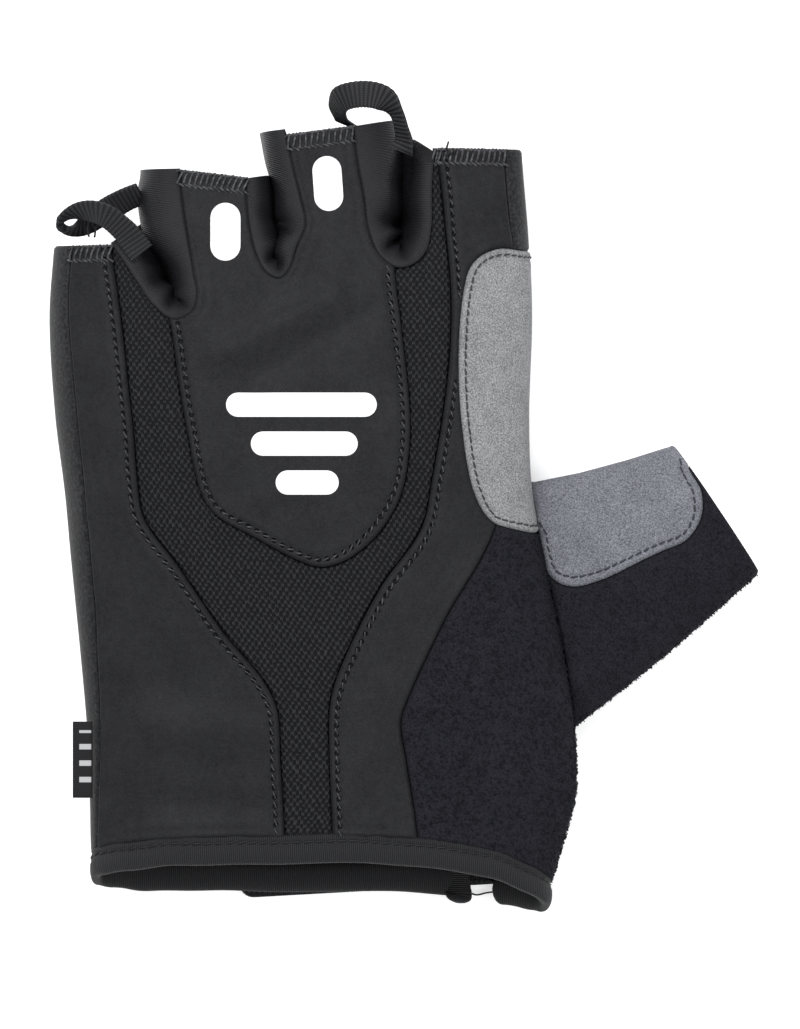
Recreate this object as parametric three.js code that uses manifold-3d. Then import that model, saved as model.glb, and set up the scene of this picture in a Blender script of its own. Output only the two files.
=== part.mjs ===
// A fingerless cycling glove for the left hand, lying on its palm with the back of the hand up.
// Units are millimetres: +X points to the thumb side, +Y to the finger tips and +Z up.
// The origin is on the supporting surface, under the middle of the palm.
import * as THREE from "three";
import { mergeVertices } from "three/addons/utils/BufferGeometryUtils.js";
import Module from "manifold-3d";

const wasm = await Module();
wasm.setup();

// Driving sizes
const WALL = 1.5; // knitted back panels and synthetic leather palm
const GUSSET_WALL = 1.2; // thin stretch knit between the fingers
const SEAM_GAP = 0.3; // open line between two panels
const SIDE_SPLIT = 5; // height where side panels meet the palm panel
const BACK_LOWEST = 9; // the other back panels stay above this
const BINDING_WIDTH = 6.2;
const BINDING_GAP = 0.45; // between the panels' edge and the wrist tape
const BINDING_THICKNESS = 2.6;
const WEBBING_WIDTH = 6;
const WEBBING_THICKNESS = 1;
const FILM = 0.3; // reflective transfer film

// How square the tube sections are: 2 is an ellipse
const BACK_SQUARENESS = 2.4;
const PALM_SQUARENESS = 3.2;
const PALM_FLATTENING = 1.12; // the lower half is pressed flat where it would pass the surface

// Mesh fineness
const TURNS_BACK = 22;
const TURNS_PALM = 12;
const HAND_STATIONS = 17;
const THUMB_STATIONS = 6;
const SEAM_POINTS = 26;

// Cross-sections of the hand from the wrist to the finger tips, as the outer skin
const HAND = [
  { y: -78, left: -41, right: 49, top: 21, bottom: 2.4, left_side: 9, right_side: 10 },
  { y: -62, left: -43.2, right: 53.6, top: 21.5, bottom: 2.4, left_side: 9, right_side: 11 },
  { y: -50, left: -43.6, right: 57, top: 22, bottom: 2.4, left_side: 9, right_side: 12 },
  { y: -44, left: -43.8, right: 57.4, top: 22.5, bottom: 2.4, left_side: 9, right_side: 12.5 },
  { y: -36, left: -44.1, right: 57, top: 23, bottom: 0, left_side: 9, right_side: 13 },
  { y: -20, left: -45.5, right: 54.6, top: 24, bottom: 0, left_side: 9, right_side: 13 },
  { y: 0, left: -47.5, right: 50.5, top: 25.5, bottom: 0, left_side: 9, right_side: 13 },
  { y: 14, left: -48.8, right: 48, top: 26.5, bottom: 0, left_side: 9, right_side: 12 },
  { y: 30, left: -50.8, right: 47.4, top: 27, bottom: 0, left_side: 9, right_side: 10 },
  { y: 50, left: -52, right: 48, top: 25.5, bottom: 0, left_side: 8.5, right_side: 9 },
  { y: 66, left: -51, right: 47.4, top: 22, bottom: 0, left_side: 8, right_side: 8.5 },
  { y: 84, left: -50, right: 46, top: 18.5, bottom: 0, left_side: 8, right_side: 8.5 },
  { y: 98, left: -50, right: 45.5, top: 17, bottom: 0, left_side: 8, right_side: 8.5 },
];

// Soft hollows pressed into the empty glove's back
const DENTS = [
  { x: -6, y: 49, depth: 1, radius_x: 8, radius_y: 14 },
  { x: -27, y: 37, depth: 0.8, radius_x: 9, radius_y: 16 },
  { x: 22, y: 44, depth: 0.9, radius_x: 7, radius_y: 16 },
  { x: 34, y: -2, depth: 0.8, radius_x: 9, radius_y: 11 },
  { x: 0, y: -40, depth: 0.9, radius_x: 12, radius_y: 16 },
];

// The wrist edge slants: the back ends first, the palm last, and the thumb side droops
const WRIST = { back_edge: -56, middle: 5, half: 48, top: 21.5, bottom: 2.4, slant: 6.2, droop: 6.4 };

// Cross-sections of the thumb stall, each between its finger-side and wrist-side outline points
const THUMB = [
  { finger_x: 32, finger_y: 15, wrist_x: 38, wrist_y: -37, top: 11 },
  { finger_x: 49.1, finger_y: 16.1, wrist_x: 57.1, wrist_y: -34.8, top: 11.5 },
  { finger_x: 58, finger_y: 17.9, wrist_x: 68.5, wrist_y: -25.9, top: 13 },
  { finger_x: 68, finger_y: 20.6, wrist_x: 80, wrist_y: -16.4, top: 14.5 },
  { finger_x: 77.8, finger_y: 23.7, wrist_x: 95.5, wrist_y: -2.6, top: 15.5 },
];

// Seam lines on the back of the hand, from the finger tips to the wrist
const SIDE_SEAM = [
  { x: -47.2, y: 100 },
  { x: -47.3, y: 66 },
  { x: -48, y: 53 },
  { x: -46.3, y: 31 },
  { x: -44.3, y: 12 },
  { x: -42.2, y: -17 },
  { x: -41.4, y: -36 },
  { x: -41.8, y: -50 },
  { x: -42.4, y: -82 },
];
const OUTER_MESH_SEAM = [
  { x: -42, y: 100 },
  { x: -39.3, y: 66 },
  { x: -37.3, y: 52 },
  { x: -34.4, y: 27 },
  { x: -33.6, y: 16 },
  { x: -32.2, y: 8.5 },
  { x: -24.8, y: -1.7 },
  { x: -15.7, y: -15 },
  { x: -7.4, y: -25 },
  { x: -4.6, y: -31 },
  { x: -3.9, y: -42 },
  { x: -3.2, y: -56 },
  { x: -3, y: -82 },
];
const INNER_MESH_SEAM = [
  { x: 28.2, y: 100 },
  { x: 28.6, y: 85 },
  { x: 30, y: 71 },
  { x: 31.4, y: 54 },
  { x: 30.7, y: 38 },
  { x: 27.5, y: 17 },
  { x: 25.2, y: 6.5 },
  { x: 17, y: -5.2 },
  { x: 11.2, y: -16 },
  { x: 7.2, y: -25.5 },
  { x: 6.1, y: -31 },
  { x: 6.1, y: -42 },
  { x: 6.7, y: -56 },
  { x: 7, y: -82 },
];
const THUMB_SIDE_SEAM = [
  { x: 42, y: 100 },
  { x: 42.4, y: 84 },
  { x: 43.4, y: 71 },
  { x: 44.6, y: 60 },
  { x: 45.5, y: 30 },
  { x: 40.2, y: 6 },
  { x: 30, y: -12.4 },
  { x: 22.4, y: -28.6 },
  { x: 20.9, y: -33.4 },
  { x: 22, y: -41.4 },
  { x: 24.2, y: -56 },
  { x: 26, y: -82 },
];
// Knuckle panel: down the mesh on the little finger's side, round its tongue and up again
const TONGUE = [
  { x: -31.5, y: 100 },
  { x: -29, y: 58 },
  { x: -26.9, y: 49.7 },
  { x: -24.4, y: 33 },
  { x: -22.6, y: 23.6 },
  { x: -20.4, y: 14 },
  { x: -17.6, y: 9.6 },
  { x: -8.9, y: 4.4 },
  { x: -0.6, y: 0 },
  { x: 4.3, y: -1.5 },
  { x: 9.3, y: -0.2 },
  { x: 14.3, y: 3.3 },
  { x: 18.4, y: 8.3 },
  { x: 21.3, y: 14.5 },
  { x: 22.7, y: 23 },
  { x: 22.8, y: 31 },
  { x: 20.9, y: 49.5 },
  { x: 19.7, y: 60 },
  { x: 19.7, y: 100 },
];
// Suede patch on the index finger's side; it runs past the outline and round the edge
const HAND_PATCH = [
  { x: 60, y: 61.5 },
  { x: 47.4, y: 62.6 },
  { x: 42.8, y: 64.4 },
  { x: 38.6, y: 63.5 },
  { x: 35.5, y: 60.8 },
  { x: 33.9, y: 55.2 },
  { x: 32.9, y: 42 },
  { x: 33.6, y: 27.7 },
  { x: 36.1, y: 14 },
  { x: 39.2, y: 8.6 },
  { x: 43.1, y: 6.4 },
  { x: 48.9, y: 5.4 },
  { x: 60, y: 5.2 },
];
// Suede patch on the thumb stall
const THUMB_PATCH = [
  { x: 44, y: 30 },
  { x: 79.8, y: 33 },
  { x: 78.6, y: 24 },
  { x: 80.6, y: 19.5 },
  { x: 83, y: 14 },
  { x: 82.8, y: 8.4 },
  { x: 80, y: 4.2 },
  { x: 74.2, y: 1.5 },
  { x: 61.9, y: -4.3 },
  { x: 56, y: -5.5 },
  { x: 52, y: -3.6 },
  { x: 49.8, y: 1 },
  { x: 48.5, y: 6 },
  { x: 44, y: 8 },
];

// Crotches between the fingers, from the tip on the outer finger's side, round, to the other tip.
// bulge is how far the gusset's upper half stands out of the panel edge and reach the lower half,
// so that the two sides close over each other; pleat is how deep the gusset's top folds in there.
const CROTCHES = {
  little_ring: [
    { x: -38.9, y: 65.6, bulge: 4.4, reach: 3.4, pleat: 0 },
    { x: -36.2, y: 61.7, bulge: 4.8, reach: 3.6, pleat: 0.3 },
    { x: -33.2, y: 57.2, bulge: 4.2, reach: 3.4, pleat: 0 },
    { x: -30.2, y: 52.9, bulge: 3.6, reach: 3.2, pleat: 0.5 },
    { x: -26, y: 49.9, bulge: 3, reach: 3, pleat: 0 },
    { x: -22.2, y: 51.2, bulge: 2.8, reach: 2.8, pleat: 0.6 },
    { x: -21.2, y: 54.6, bulge: 3.6, reach: 4.4, pleat: 0 },
    { x: -22, y: 59.4, bulge: 4.6, reach: 7, pleat: 0.4 },
    { x: -23.6, y: 68.3, bulge: 8.4, reach: 8.8, pleat: 0 },
    { x: -24.6, y: 75.8, bulge: 9, reach: 8.6, pleat: 0.3 },
    { x: -24.9, y: 81, bulge: 6.6, reach: 7, pleat: 0 },
  ],
  ring_middle: [
    { x: -11, y: 78.6, bulge: 3.4, reach: 2.4, pleat: 0 },
    { x: -10.8, y: 74.5, bulge: 3.4, reach: 2.2, pleat: 0.3 },
    { x: -10.1, y: 68.3, bulge: 3, reach: 1.8, pleat: 0 },
    { x: -8.7, y: 63, bulge: 2.2, reach: 1.4, pleat: 0 },
    { x: -6.6, y: 59.4, bulge: 1.7, reach: 1.5, pleat: 0.4 },
    { x: -4.1, y: 58.4, bulge: 1.5, reach: 1.4, pleat: 0 },
    { x: -2.2, y: 60.4, bulge: 1.6, reach: 1.8, pleat: 0.6 },
    { x: -0.9, y: 64.6, bulge: 4, reach: 5.2, pleat: 0 },
    { x: 1, y: 69, bulge: 5.8, reach: 7, pleat: 0.6 },
    { x: 0, y: 74.5, bulge: 5.6, reach: 6.8, pleat: 0 },
    { x: -1.6, y: 81, bulge: 5.4, reach: 5, pleat: 0.3 },
    { x: -3, y: 88.2, bulge: 5.2, reach: 4, pleat: 0 },
  ],
  middle_index: [
    { x: 11, y: 89.6, bulge: 9.4, reach: 9.6, pleat: 0 },
    { x: 11.9, y: 82.7, bulge: 9.2, reach: 10.4, pleat: 0.3 },
    { x: 13.4, y: 75, bulge: 7, reach: 8.6, pleat: 0 },
    { x: 14.4, y: 67.8, bulge: 5.4, reach: 7.2, pleat: 0.5 },
    { x: 16.6, y: 63, bulge: 3.6, reach: 4.4, pleat: 0 },
    { x: 20, y: 60.6, bulge: 3.2, reach: 3.2, pleat: 0.6 },
    { x: 23.4, y: 61.3, bulge: 3.4, reach: 2.8, pleat: 0 },
    { x: 25.9, y: 64, bulge: 4, reach: 3, pleat: 0.5 },
    { x: 27, y: 69, bulge: 4.8, reach: 3.4, pleat: 0 },
    { x: 27.1, y: 77, bulge: 4.8, reach: 3.4, pleat: 0.4 },
    { x: 27.6, y: 85, bulge: 4.4, reach: 3.2, pleat: 0 },
  ],
};

// Finger tips: the outline steps from one finger to the next inside each crotch
const TIPS = [
  { x: -90, y: 65 },
  { x: -34, y: 65.4 },
  { x: -34, y: 81.4 },
  { x: -25, y: 80.8 },
  { x: -7, y: 78.6 },
  { x: -7, y: 88 },
  { x: -3, y: 88 },
  { x: 11, y: 89.8 },
  { x: 21.5, y: 89.6 },
  { x: 21.5, y: 85.4 },
  { x: 36, y: 85 },
  { x: 90, y: 84.5 },
];

// Slit on the palm side of the wrist, and the fastening tab that crosses under it
const SLIT = { x: 37.4, half: 2.3, top: -43, edge: 4.6 };
const TAB = { left: -12.6, right: 44, lower: -70.4, upper: -50.5, turn: 3.2, corner: 3, thickness: 1.5 };

// Blank woven label folded into the side seam
const LABEL = { out: -47, in: -42.9, y: -41.3, length: 15.8, thickness: 0.9, z: 14.2 };

// Pull loops of narrow webbing: centre line, and the direction of the webbing's width
const FINGER_LOOP = [
  { x: 8.6, y: 91.7, z: 11.5, wide_x: -0.65, wide_y: 0.7, wide_z: -0.4 },
  { x: 7.2, y: 93.2, z: 16.5, wide_x: -0.55, wide_y: 0.78, wide_z: -0.25 },
  { x: 9, y: 95, z: 20.5, wide_x: -0.1, wide_y: 0.95, wide_z: 0.2 },
  { x: 13.4, y: 95.6, z: 22.4, wide_x: 0, wide_y: 1, wide_z: 0 },
  { x: 17.4, y: 94.6, z: 22.6, wide_x: 0.25, wide_y: 0.95, wide_z: 0.2 },
  { x: 20.4, y: 91.6, z: 22, wide_x: 0.5, wide_y: 0.4, wide_z: 0.75 },
  { x: 21.6, y: 88, z: 21, wide_x: 0.75, wide_y: 0.2, wide_z: 0.6 },
  { x: 20.4, y: 84.6, z: 19.4, wide_x: 0.85, wide_y: 0.3, wide_z: 0.2 },
];
const SIDE_LOOP = [
  { x: -33, y: 63.2, z: 20.9, wide_x: 0.8, wide_y: 0.55, wide_z: 0 },
  { x: -36, y: 68.8, z: 22, wide_x: 0.75, wide_y: 0.65, wide_z: 0 },
  { x: -40.4, y: 72, z: 22.8, wide_x: 0.35, wide_y: 0.9, wide_z: 0.1 },
  { x: -45.4, y: 72.2, z: 22.1, wide_x: -0.1, wide_y: 0.95, wide_z: 0.2 },
  { x: -48.6, y: 70.9, z: 18.6, wide_x: -0.3, wide_y: 0.9, wide_z: 0.3 },
  { x: -47.6, y: 70, z: 14.8, wide_x: -0.35, wide_y: 0.9, wide_z: 0.1 },
  { x: -43.6, y: 70.8, z: 12.8, wide_x: -0.3, wide_y: 0.95, wide_z: 0 },
  { x: -39.6, y: 73.1, z: 13.2, wide_x: -0.35, wide_y: 0.8, wide_z: 0.4 },
  { x: -35.8, y: 75.3, z: 14, wide_x: -0.3, wide_y: 0.7, wide_z: 0.6 },
];

// Reflective transfers: upright ovals on two fingers, and three plain bars on the back
const OVALS = [
  { name: "reflective_oval_ring", x: -15.3, y: 67.7, length: 12, width: 6.2, turn: 0 },
  { name: "reflective_oval_middle", x: 5.8, y: 77.7, length: 11.4, width: 6, turn: 4 },
];
const BARS = [
  { name: "reflective_bar_upper", x: 0.4, y: 32, length: 31, width: 5 },
  { name: "reflective_bar_middle", x: 1, y: 24, length: 22, width: 5 },
  { name: "reflective_bar_lower", x: 1.6, y: 16, length: 13, width: 5 },
];

// Material colours, roughness and metalness
const FINISHES = {
  back_knit: { color: 0x303032, roughness: 0.8, metalness: 0 },
  air_mesh: { color: 0x1c1c1e, roughness: 0.9, metalness: 0 },
  terry: { color: 0x17171a, roughness: 1, metalness: 0 },
  palm: { color: 0x27282a, roughness: 0.85, metalness: 0 },
  suede: { color: 0x8c8d91, roughness: 0.95, metalness: 0 },
  gusset_knit: { color: 0x242426, roughness: 0.6, metalness: 0 },
  binding_knit: { color: 0x222326, roughness: 0.6, metalness: 0 },
  webbing: { color: 0x2a2a2b, roughness: 0.7, metalness: 0 },
  hook_tape: { color: 0x18181a, roughness: 0.8, metalness: 0 },
  label: { color: 0x1a1a1c, roughness: 0.75, metalness: 0 },
  reflective: { color: 0xf4f4f4, roughness: 0.4, metalness: 0 },
};

// Curves and tables

// Value of one column of a table at y, on a smooth curve through its rows
function column(rows, key, y) {
  const last = rows.length - 2;
  let i = 0;
  while (i < last && y > rows[i + 1].y) i += 1;
  const slope = (k) => {
    const a = rows[Math.max(k - 1, 0)];
    const b = rows[Math.min(k + 1, rows.length - 1)];
    return (b[key] - a[key]) / (b.y - a.y);
  };
  const step = rows[i + 1].y - rows[i].y;
  const t = THREE.MathUtils.clamp((y - rows[i].y) / step, 0, 1);
  const ease = t * t * (3 - 2 * t);
  const start = slope(i) * step * t * (1 - t) * (1 - t);
  const end = slope(i + 1) * step * t * t * (t - 1);
  return rows[i][key] + (rows[i + 1][key] - rows[i][key]) * ease + start + end;
}

// Smooth plan line through the rows of a table
function planLine(rows, points = SEAM_POINTS) {
  const through = rows.map((row) => new THREE.Vector3(row.x, row.y, 0));
  const curve = new THREE.CatmullRomCurve3(through, false, "centripetal");
  return curve.getPoints(points).map((p) => new THREE.Vector2(p.x, p.y));
}

// The same line moved sideways; positive goes to the left of its direction
function moved(line, distance) {
  return line.map((point, i) => {
    const before = line[Math.max(i - 1, 0)];
    const after = line[Math.min(i + 1, line.length - 1)];
    const along = after.clone().sub(before).normalize();
    return new THREE.Vector2(point.x - along.y * distance, point.y + along.x * distance);
  });
}

// How far the hollows sink the back at a plan point
function dent(x, y) {
  return DENTS.reduce((sum, hollow) => {
    const reach = ((x - hollow.x) / hollow.radius_x) ** 2 + ((y - hollow.y) / hollow.radius_y) ** 2;
    return sum + hollow.depth * Math.exp(-reach);
  }, 0);
}

const signedPower = (value, power) => Math.sign(value) * Math.abs(value) ** power;

// Solids

function toSolid(geometry) {
  const bare = geometry.clone();
  bare.deleteAttribute("normal");
  bare.deleteAttribute("uv");
  const merged = mergeVertices(bare, 1e-4);
  return new wasm.Manifold(
    new wasm.Mesh({
      numProp: 3,
      vertProperties: new Float32Array(merged.attributes.position.array),
      triVerts: new Uint32Array(merged.index.array),
    }),
  );
}

function toGeometry(solid) {
  const mesh = solid.getMesh();
  const geometry = new THREE.BufferGeometry();
  geometry.setAttribute("position", new THREE.BufferAttribute(mesh.vertProperties, mesh.numProp));
  geometry.setIndex(new THREE.BufferAttribute(mesh.triVerts, 1));
  const flat = geometry.toNonIndexed();
  flat.computeVertexNormals();
  return flat;
}

function solidFrom(points, triangles) {
  const geometry = new THREE.BufferGeometry();
  geometry.setAttribute("position", new THREE.Float32BufferAttribute(points.flatMap((p) => p.toArray()), 3));
  geometry.setIndex(triangles);
  const solid = toSolid(geometry);
  if (solid.volume() > 0) return solid;
  geometry.setIndex(triangles.toReversed());
  return toSolid(geometry);
}

// Bands of triangles between neighbouring rings of points
function bandsBetween(rings, joined) {
  const size = rings[0].length;
  const triangles = [];
  const bands = joined ? rings.length : rings.length - 1;
  for (let i = 0; i < bands; i += 1) {
    const next = (i + 1) % rings.length;
    for (let j = 0; j < size; j += 1) {
      const a = i * size + j;
      const b = i * size + ((j + 1) % size);
      const c = next * size + j;
      const d = next * size + ((j + 1) % size);
      triangles.push(a, b, d, a, d, c);
    }
  }
  return triangles;
}

// Solid through closed rings of points, with flat fans over both ends, or joined end to end
function loft(rings, joined = false) {
  const size = rings[0].length;
  const points = rings.flat();
  const triangles = bandsBetween(rings, joined);
  if (!joined) {
    for (const [ring, flip] of [[0, true], [rings.length - 1, false]]) {
      const centre = new THREE.Vector3();
      rings[ring].forEach((p) => centre.addScaledVector(p, 1 / size));
      points.push(centre);
      for (let j = 0; j < size; j += 1) {
        const a = ring * size + j;
        const b = ring * size + ((j + 1) % size);
        triangles.push(...(flip ? [b, a, points.length - 1] : [a, b, points.length - 1]));
      }
    }
  }
  return solidFrom(points, triangles);
}

// Sheet between two surfaces given as rows of points, with a strip over the thickness at both ends
function sheet(outer, inner) {
  const rings = outer.map((row, i) => [...row, ...inner[i].toReversed()]);
  const size = rings[0].length;
  const triangles = bandsBetween(rings, false);
  for (const [ring, flip] of [[0, true], [rings.length - 1, false]]) {
    const first = ring * size;
    for (let j = 0; j + 1 < size / 2; j += 1) {
      const [a, b, c, d] = [j, j + 1, size - 2 - j, size - 1 - j].map((k) => first + k);
      triangles.push(...(flip ? [b, a, c, c, a, d] : [a, b, c, a, c, d]));
    }
  }
  return solidFrom(rings.flat(), triangles);
}

// Upright block over a plan outline
function block(outline, low = -5, high = 60) {
  const shape = new THREE.Shape(outline);
  const geometry = new THREE.ExtrudeGeometry(shape, { depth: high - low, bevelEnabled: false, curveSegments: 1 });
  return toSolid(geometry.translate(0, 0, low));
}

const slab = (low, high) =>
  block(
    [[-200, -200], [200, -200], [200, 200], [-200, 200]].map((p) => new THREE.Vector2(...p)),
    low,
    high,
  );

// Round-ended bar outline, lying along X before it is turned
function capsule({ x, y, length, width, turn }) {
  const steps = 6;
  const radius = width / 2;
  const outline = [];
  for (const end of [1, -1]) {
    for (let i = 0; i <= steps; i += 1) {
      const angle = -Math.PI / 2 + (Math.PI * i) / steps + (end < 0 ? Math.PI : 0);
      const corner = new THREE.Vector2(Math.cos(angle), Math.sin(angle)).multiplyScalar(radius);
      corner.x += end * (length / 2 - radius);
      outline.push(corner.rotateAround(new THREE.Vector2(), THREE.MathUtils.degToRad(turn)).add({ x, y }));
    }
  }
  return outline;
}

// The hand

// Outer skin of the hand at station y; turn goes from 0 at the thumb side over the back to PI
function handPoint(y, turn, grow = 0) {
  const left = column(HAND, "left", y) - grow;
  const right = column(HAND, "right", y) + grow;
  const back = Math.sin(turn) >= 0;
  const squareness = back ? BACK_SQUARENESS : PALM_SQUARENESS;
  const across = signedPower(Math.cos(turn), 2 / squareness);
  const rise = Math.abs(Math.sin(turn)) ** (2 / squareness);
  const share = (across + 1) / 2;
  const side = column(HAND, "left_side", y) * (1 - share) + column(HAND, "right_side", y) * share;
  const x = left + (right - left) * share;
  const crown = column(HAND, "top", y) - dent(x, y) + grow;
  if (back) return new THREE.Vector3(x, y, side + (crown - side) * rise);
  const depth = side - Math.max(column(HAND, "bottom", y), 0) + grow;
  return new THREE.Vector3(x, y, side - depth * Math.min(1, PALM_FLATTENING * rise));
}

// Height of the back's outer skin above a plan point
function backHeight(x, y) {
  const left = column(HAND, "left", y);
  const right = column(HAND, "right", y);
  const share = THREE.MathUtils.clamp((x - left) / (right - left), 0.001, 0.999);
  const side = column(HAND, "left_side", y) * (1 - share) + column(HAND, "right_side", y) * share;
  const across = Math.abs(2 * share - 1);
  const rise = (1 - across ** BACK_SQUARENESS) ** (1 / BACK_SQUARENESS);
  return side + (column(HAND, "top", y) - dent(x, y) - side) * rise;
}

function turns(back, palm) {
  const list = [];
  for (let i = 0; i < back; i += 1) list.push((Math.PI * i) / back);
  for (let i = 0; i < palm; i += 1) list.push(Math.PI + (Math.PI * i) / palm);
  return list;
}

function handSolid(grow) {
  const start = HAND[0].y;
  const end = HAND.at(-1).y;
  const rings = [];
  for (let i = 0; i <= HAND_STATIONS; i += 1) {
    const y = start + ((end - start) * i) / HAND_STATIONS;
    rings.push(turns(TURNS_BACK, TURNS_PALM).map((turn) => handPoint(y, turn, grow)));
  }
  return loft(rings);
}

// Where the panels end at the wrist, for a point at x and height z
function wristEdge(x, z) {
  const across = (x - WRIST.middle) / WRIST.half;
  const lower = THREE.MathUtils.clamp((WRIST.top - z) / (WRIST.top - WRIST.bottom), 0, 1);
  return WRIST.back_edge - WRIST.slant * lower - WRIST.droop * Math.max(0, across) ** 3;
}

// Everything on the finger side of the wrist edge
function beyondWrist() {
  const edge = [];
  const far = [];
  for (let x = -60; x <= 65; x += 5) {
    const heights = [-6, 2.4, 21.5, 34];
    edge.push(heights.map((z) => new THREE.Vector3(x, wristEdge(x, z), z)));
    far.push(heights.map((z) => new THREE.Vector3(x, 120, z)));
  }
  return sheet(edge, far);
}

// The thumb

// Outer skin of the thumb stall at a share of its length
function thumbPoint(share, turn, grow = 0) {
  const place = THREE.MathUtils.clamp(share, 0, 1) * (THUMB.length - 1);
  const i = Math.min(Math.floor(place), THUMB.length - 2);
  const mix = (key) => THREE.MathUtils.lerp(THUMB[i][key], THUMB[i + 1][key], place - i);
  const finger = new THREE.Vector3(mix("finger_x"), mix("finger_y"), 0);
  const wrist = new THREE.Vector3(mix("wrist_x"), mix("wrist_y"), 0);
  const middle = finger.clone().add(wrist).multiplyScalar(0.5);
  const half = finger.clone().sub(middle);
  const length = half.length();
  const back = Math.sin(turn) >= 0;
  const squareness = back ? BACK_SQUARENESS : PALM_SQUARENESS;
  const across = signedPower(Math.cos(turn), 2 / squareness);
  const rise = Math.abs(Math.sin(turn)) ** (2 / squareness);
  const side = mix("top") * 0.45;
  const point = middle.addScaledVector(half, (across * (length + grow)) / length);
  if (back) point.z = side + (mix("top") + grow - side) * rise;
  else point.z = side - (side + grow) * Math.min(1, PALM_FLATTENING * rise);
  return point;
}

function thumbSolid(grow, past = 0) {
  const rings = [];
  for (let i = 0; i <= THUMB_STATIONS; i += 1) {
    rings.push(turns(12, 8).map((turn) => thumbPoint(i / THUMB_STATIONS, turn, grow)));
  }
  if (past > 0) {
    const outwards = new THREE.Vector3(0.83, 0.56, 0).multiplyScalar(past);
    rings.push(rings.at(-1).map((point) => point.clone().add(outwards)));
  }
  return loft(rings);
}

// The gussets

// Cross-section of a gusset from the back's edge, out into the gap and down to the palm's edge
function gussetRow(point, outwards, top, { bulge, reach }, inset) {
  const steps = 6;
  const middle = top / 2;
  const row = [];
  for (let i = 0; i <= steps; i += 1) {
    const turn = Math.PI / 2 - (Math.PI * i) / steps;
    const lowerShare = THREE.MathUtils.smoothstep(-Math.sin(turn), -0.1, 0.5);
    const full = THREE.MathUtils.lerp(bulge, reach, lowerShare) - inset;
    const out = Math.max(Math.cos(turn), 0) ** (2 / BACK_SQUARENESS) * Math.max(full, 0.3);
    const up = signedPower(Math.sin(turn), 2 / BACK_SQUARENESS) * (middle - inset);
    const plan = point.clone().addScaledVector(outwards, SEAM_GAP + 0.1 + out);
    row.push(new THREE.Vector3(plan.x, plan.y, middle + up));
  }
  return row;
}

function gusset(rows) {
  const stations = 20;
  const curve = new THREE.CatmullRomCurve3(
    rows.map((row) => new THREE.Vector3(row.x, row.y, 0)),
    false,
    "centripetal",
  );
  const sizes = new THREE.CatmullRomCurve3(
    rows.map((row) => new THREE.Vector3(row.bulge, row.reach, row.pleat)),
    false,
    "catmullrom",
  );
  const outer = [];
  const inner = [];
  for (let i = 0; i <= stations; i += 1) {
    const place = i / stations;
    const at = curve.getPoint(place);
    const along = curve.getTangent(place);
    const outwards = new THREE.Vector2(-along.y, along.x);
    const point = new THREE.Vector2(at.x, at.y);
    const size = sizes.getPoint(place);
    const out = { bulge: size.x, reach: size.y };
    const top = backHeight(at.x, at.y) - Math.max(size.z, 0);
    outer.push(gussetRow(point, outwards, top, out, 0));
    inner.push(gussetRow(point, outwards, top, out, GUSSET_WALL));
  }
  return sheet(outer, inner);
}

// The trims

// Ring of knitted tape around the wrist edge
function bindingRing() {
  const corners = 6;
  const rings = turns(TURNS_BACK, TURNS_PALM).map((turn) => {
    let y = WRIST.back_edge;
    let skin = handPoint(y, turn, -WALL / 2);
    for (let i = 0; i < 4; i += 1) {
      y = wristEdge(skin.x, skin.z) - BINDING_GAP - BINDING_WIDTH / 2;
      skin = handPoint(y, turn, -WALL / 2);
    }
    const step = 0.02;
    const along = handPoint(y, turn + step, -WALL / 2).sub(handPoint(y, turn - step, -WALL / 2));
    const outwards = new THREE.Vector3(along.z, 0, -along.x).normalize();
    const ring = [];
    for (let i = 0; i < corners; i += 1) {
      const angle = (2 * Math.PI * (i + 0.5)) / corners;
      const ahead = (signedPower(Math.cos(angle), 0.6) * BINDING_WIDTH) / 2;
      const out = (signedPower(Math.sin(angle), 0.7) * BINDING_THICKNESS) / 2;
      ring.push(skin.clone().addScaledVector(outwards, out).add(new THREE.Vector3(0, ahead, 0)));
    }
    return ring;
  });
  return loft(rings, true);
}

// Outline of the slit, grown sideways
function slitOutline(grow, low = -90) {
  const half = SLIT.half + grow;
  const outline = [new THREE.Vector2(SLIT.x - half, low), new THREE.Vector2(SLIT.x + half, low)];
  const steps = 8;
  for (let i = 0; i <= steps; i += 1) {
    const angle = (Math.PI * i) / steps;
    outline.push(new THREE.Vector2(SLIT.x + half * Math.cos(angle), SLIT.top + half * Math.sin(angle)));
  }
  return outline;
}

function wristBinding() {
  const middle = column(HAND, "bottom", -60) + WALL / 2;
  const low = middle - BINDING_THICKNESS / 2;
  const high = middle + BINDING_THICKNESS / 2;
  const opening = block(slitOutline(0), -5, 9);
  const edge = block(slitOutline(SLIT.edge, -69), low, high).subtract(opening);
  return bindingRing().subtract(opening).add(edge);
}

// Webbing swept along a table of centres and width directions
function webbing(rows) {
  const steps = 16;
  const centres = new THREE.CatmullRomCurve3(rows.map((r) => new THREE.Vector3(r.x, r.y, r.z)));
  const widths = new THREE.CatmullRomCurve3(
    rows.map((r) => new THREE.Vector3(r.wide_x, r.wide_y, r.wide_z).normalize()),
  );
  const rings = [];
  for (let i = 0; i <= steps; i += 1) {
    const centre = centres.getPoint(i / steps);
    const along = centres.getTangent(i / steps);
    const wide = widths.getPoint(i / steps);
    wide.addScaledVector(along, -wide.dot(along)).normalize();
    const thick = along.clone().cross(wide).normalize();
    const corner = (w, t) =>
      centre
        .clone()
        .addScaledVector(wide, (w * WEBBING_WIDTH) / 2)
        .addScaledVector(thick, (t * WEBBING_THICKNESS) / 2);
    rings.push([corner(-1, -1), corner(1, -1), corner(1, 1), corner(-1, 1)]);
  }
  return loft(rings);
}

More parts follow.
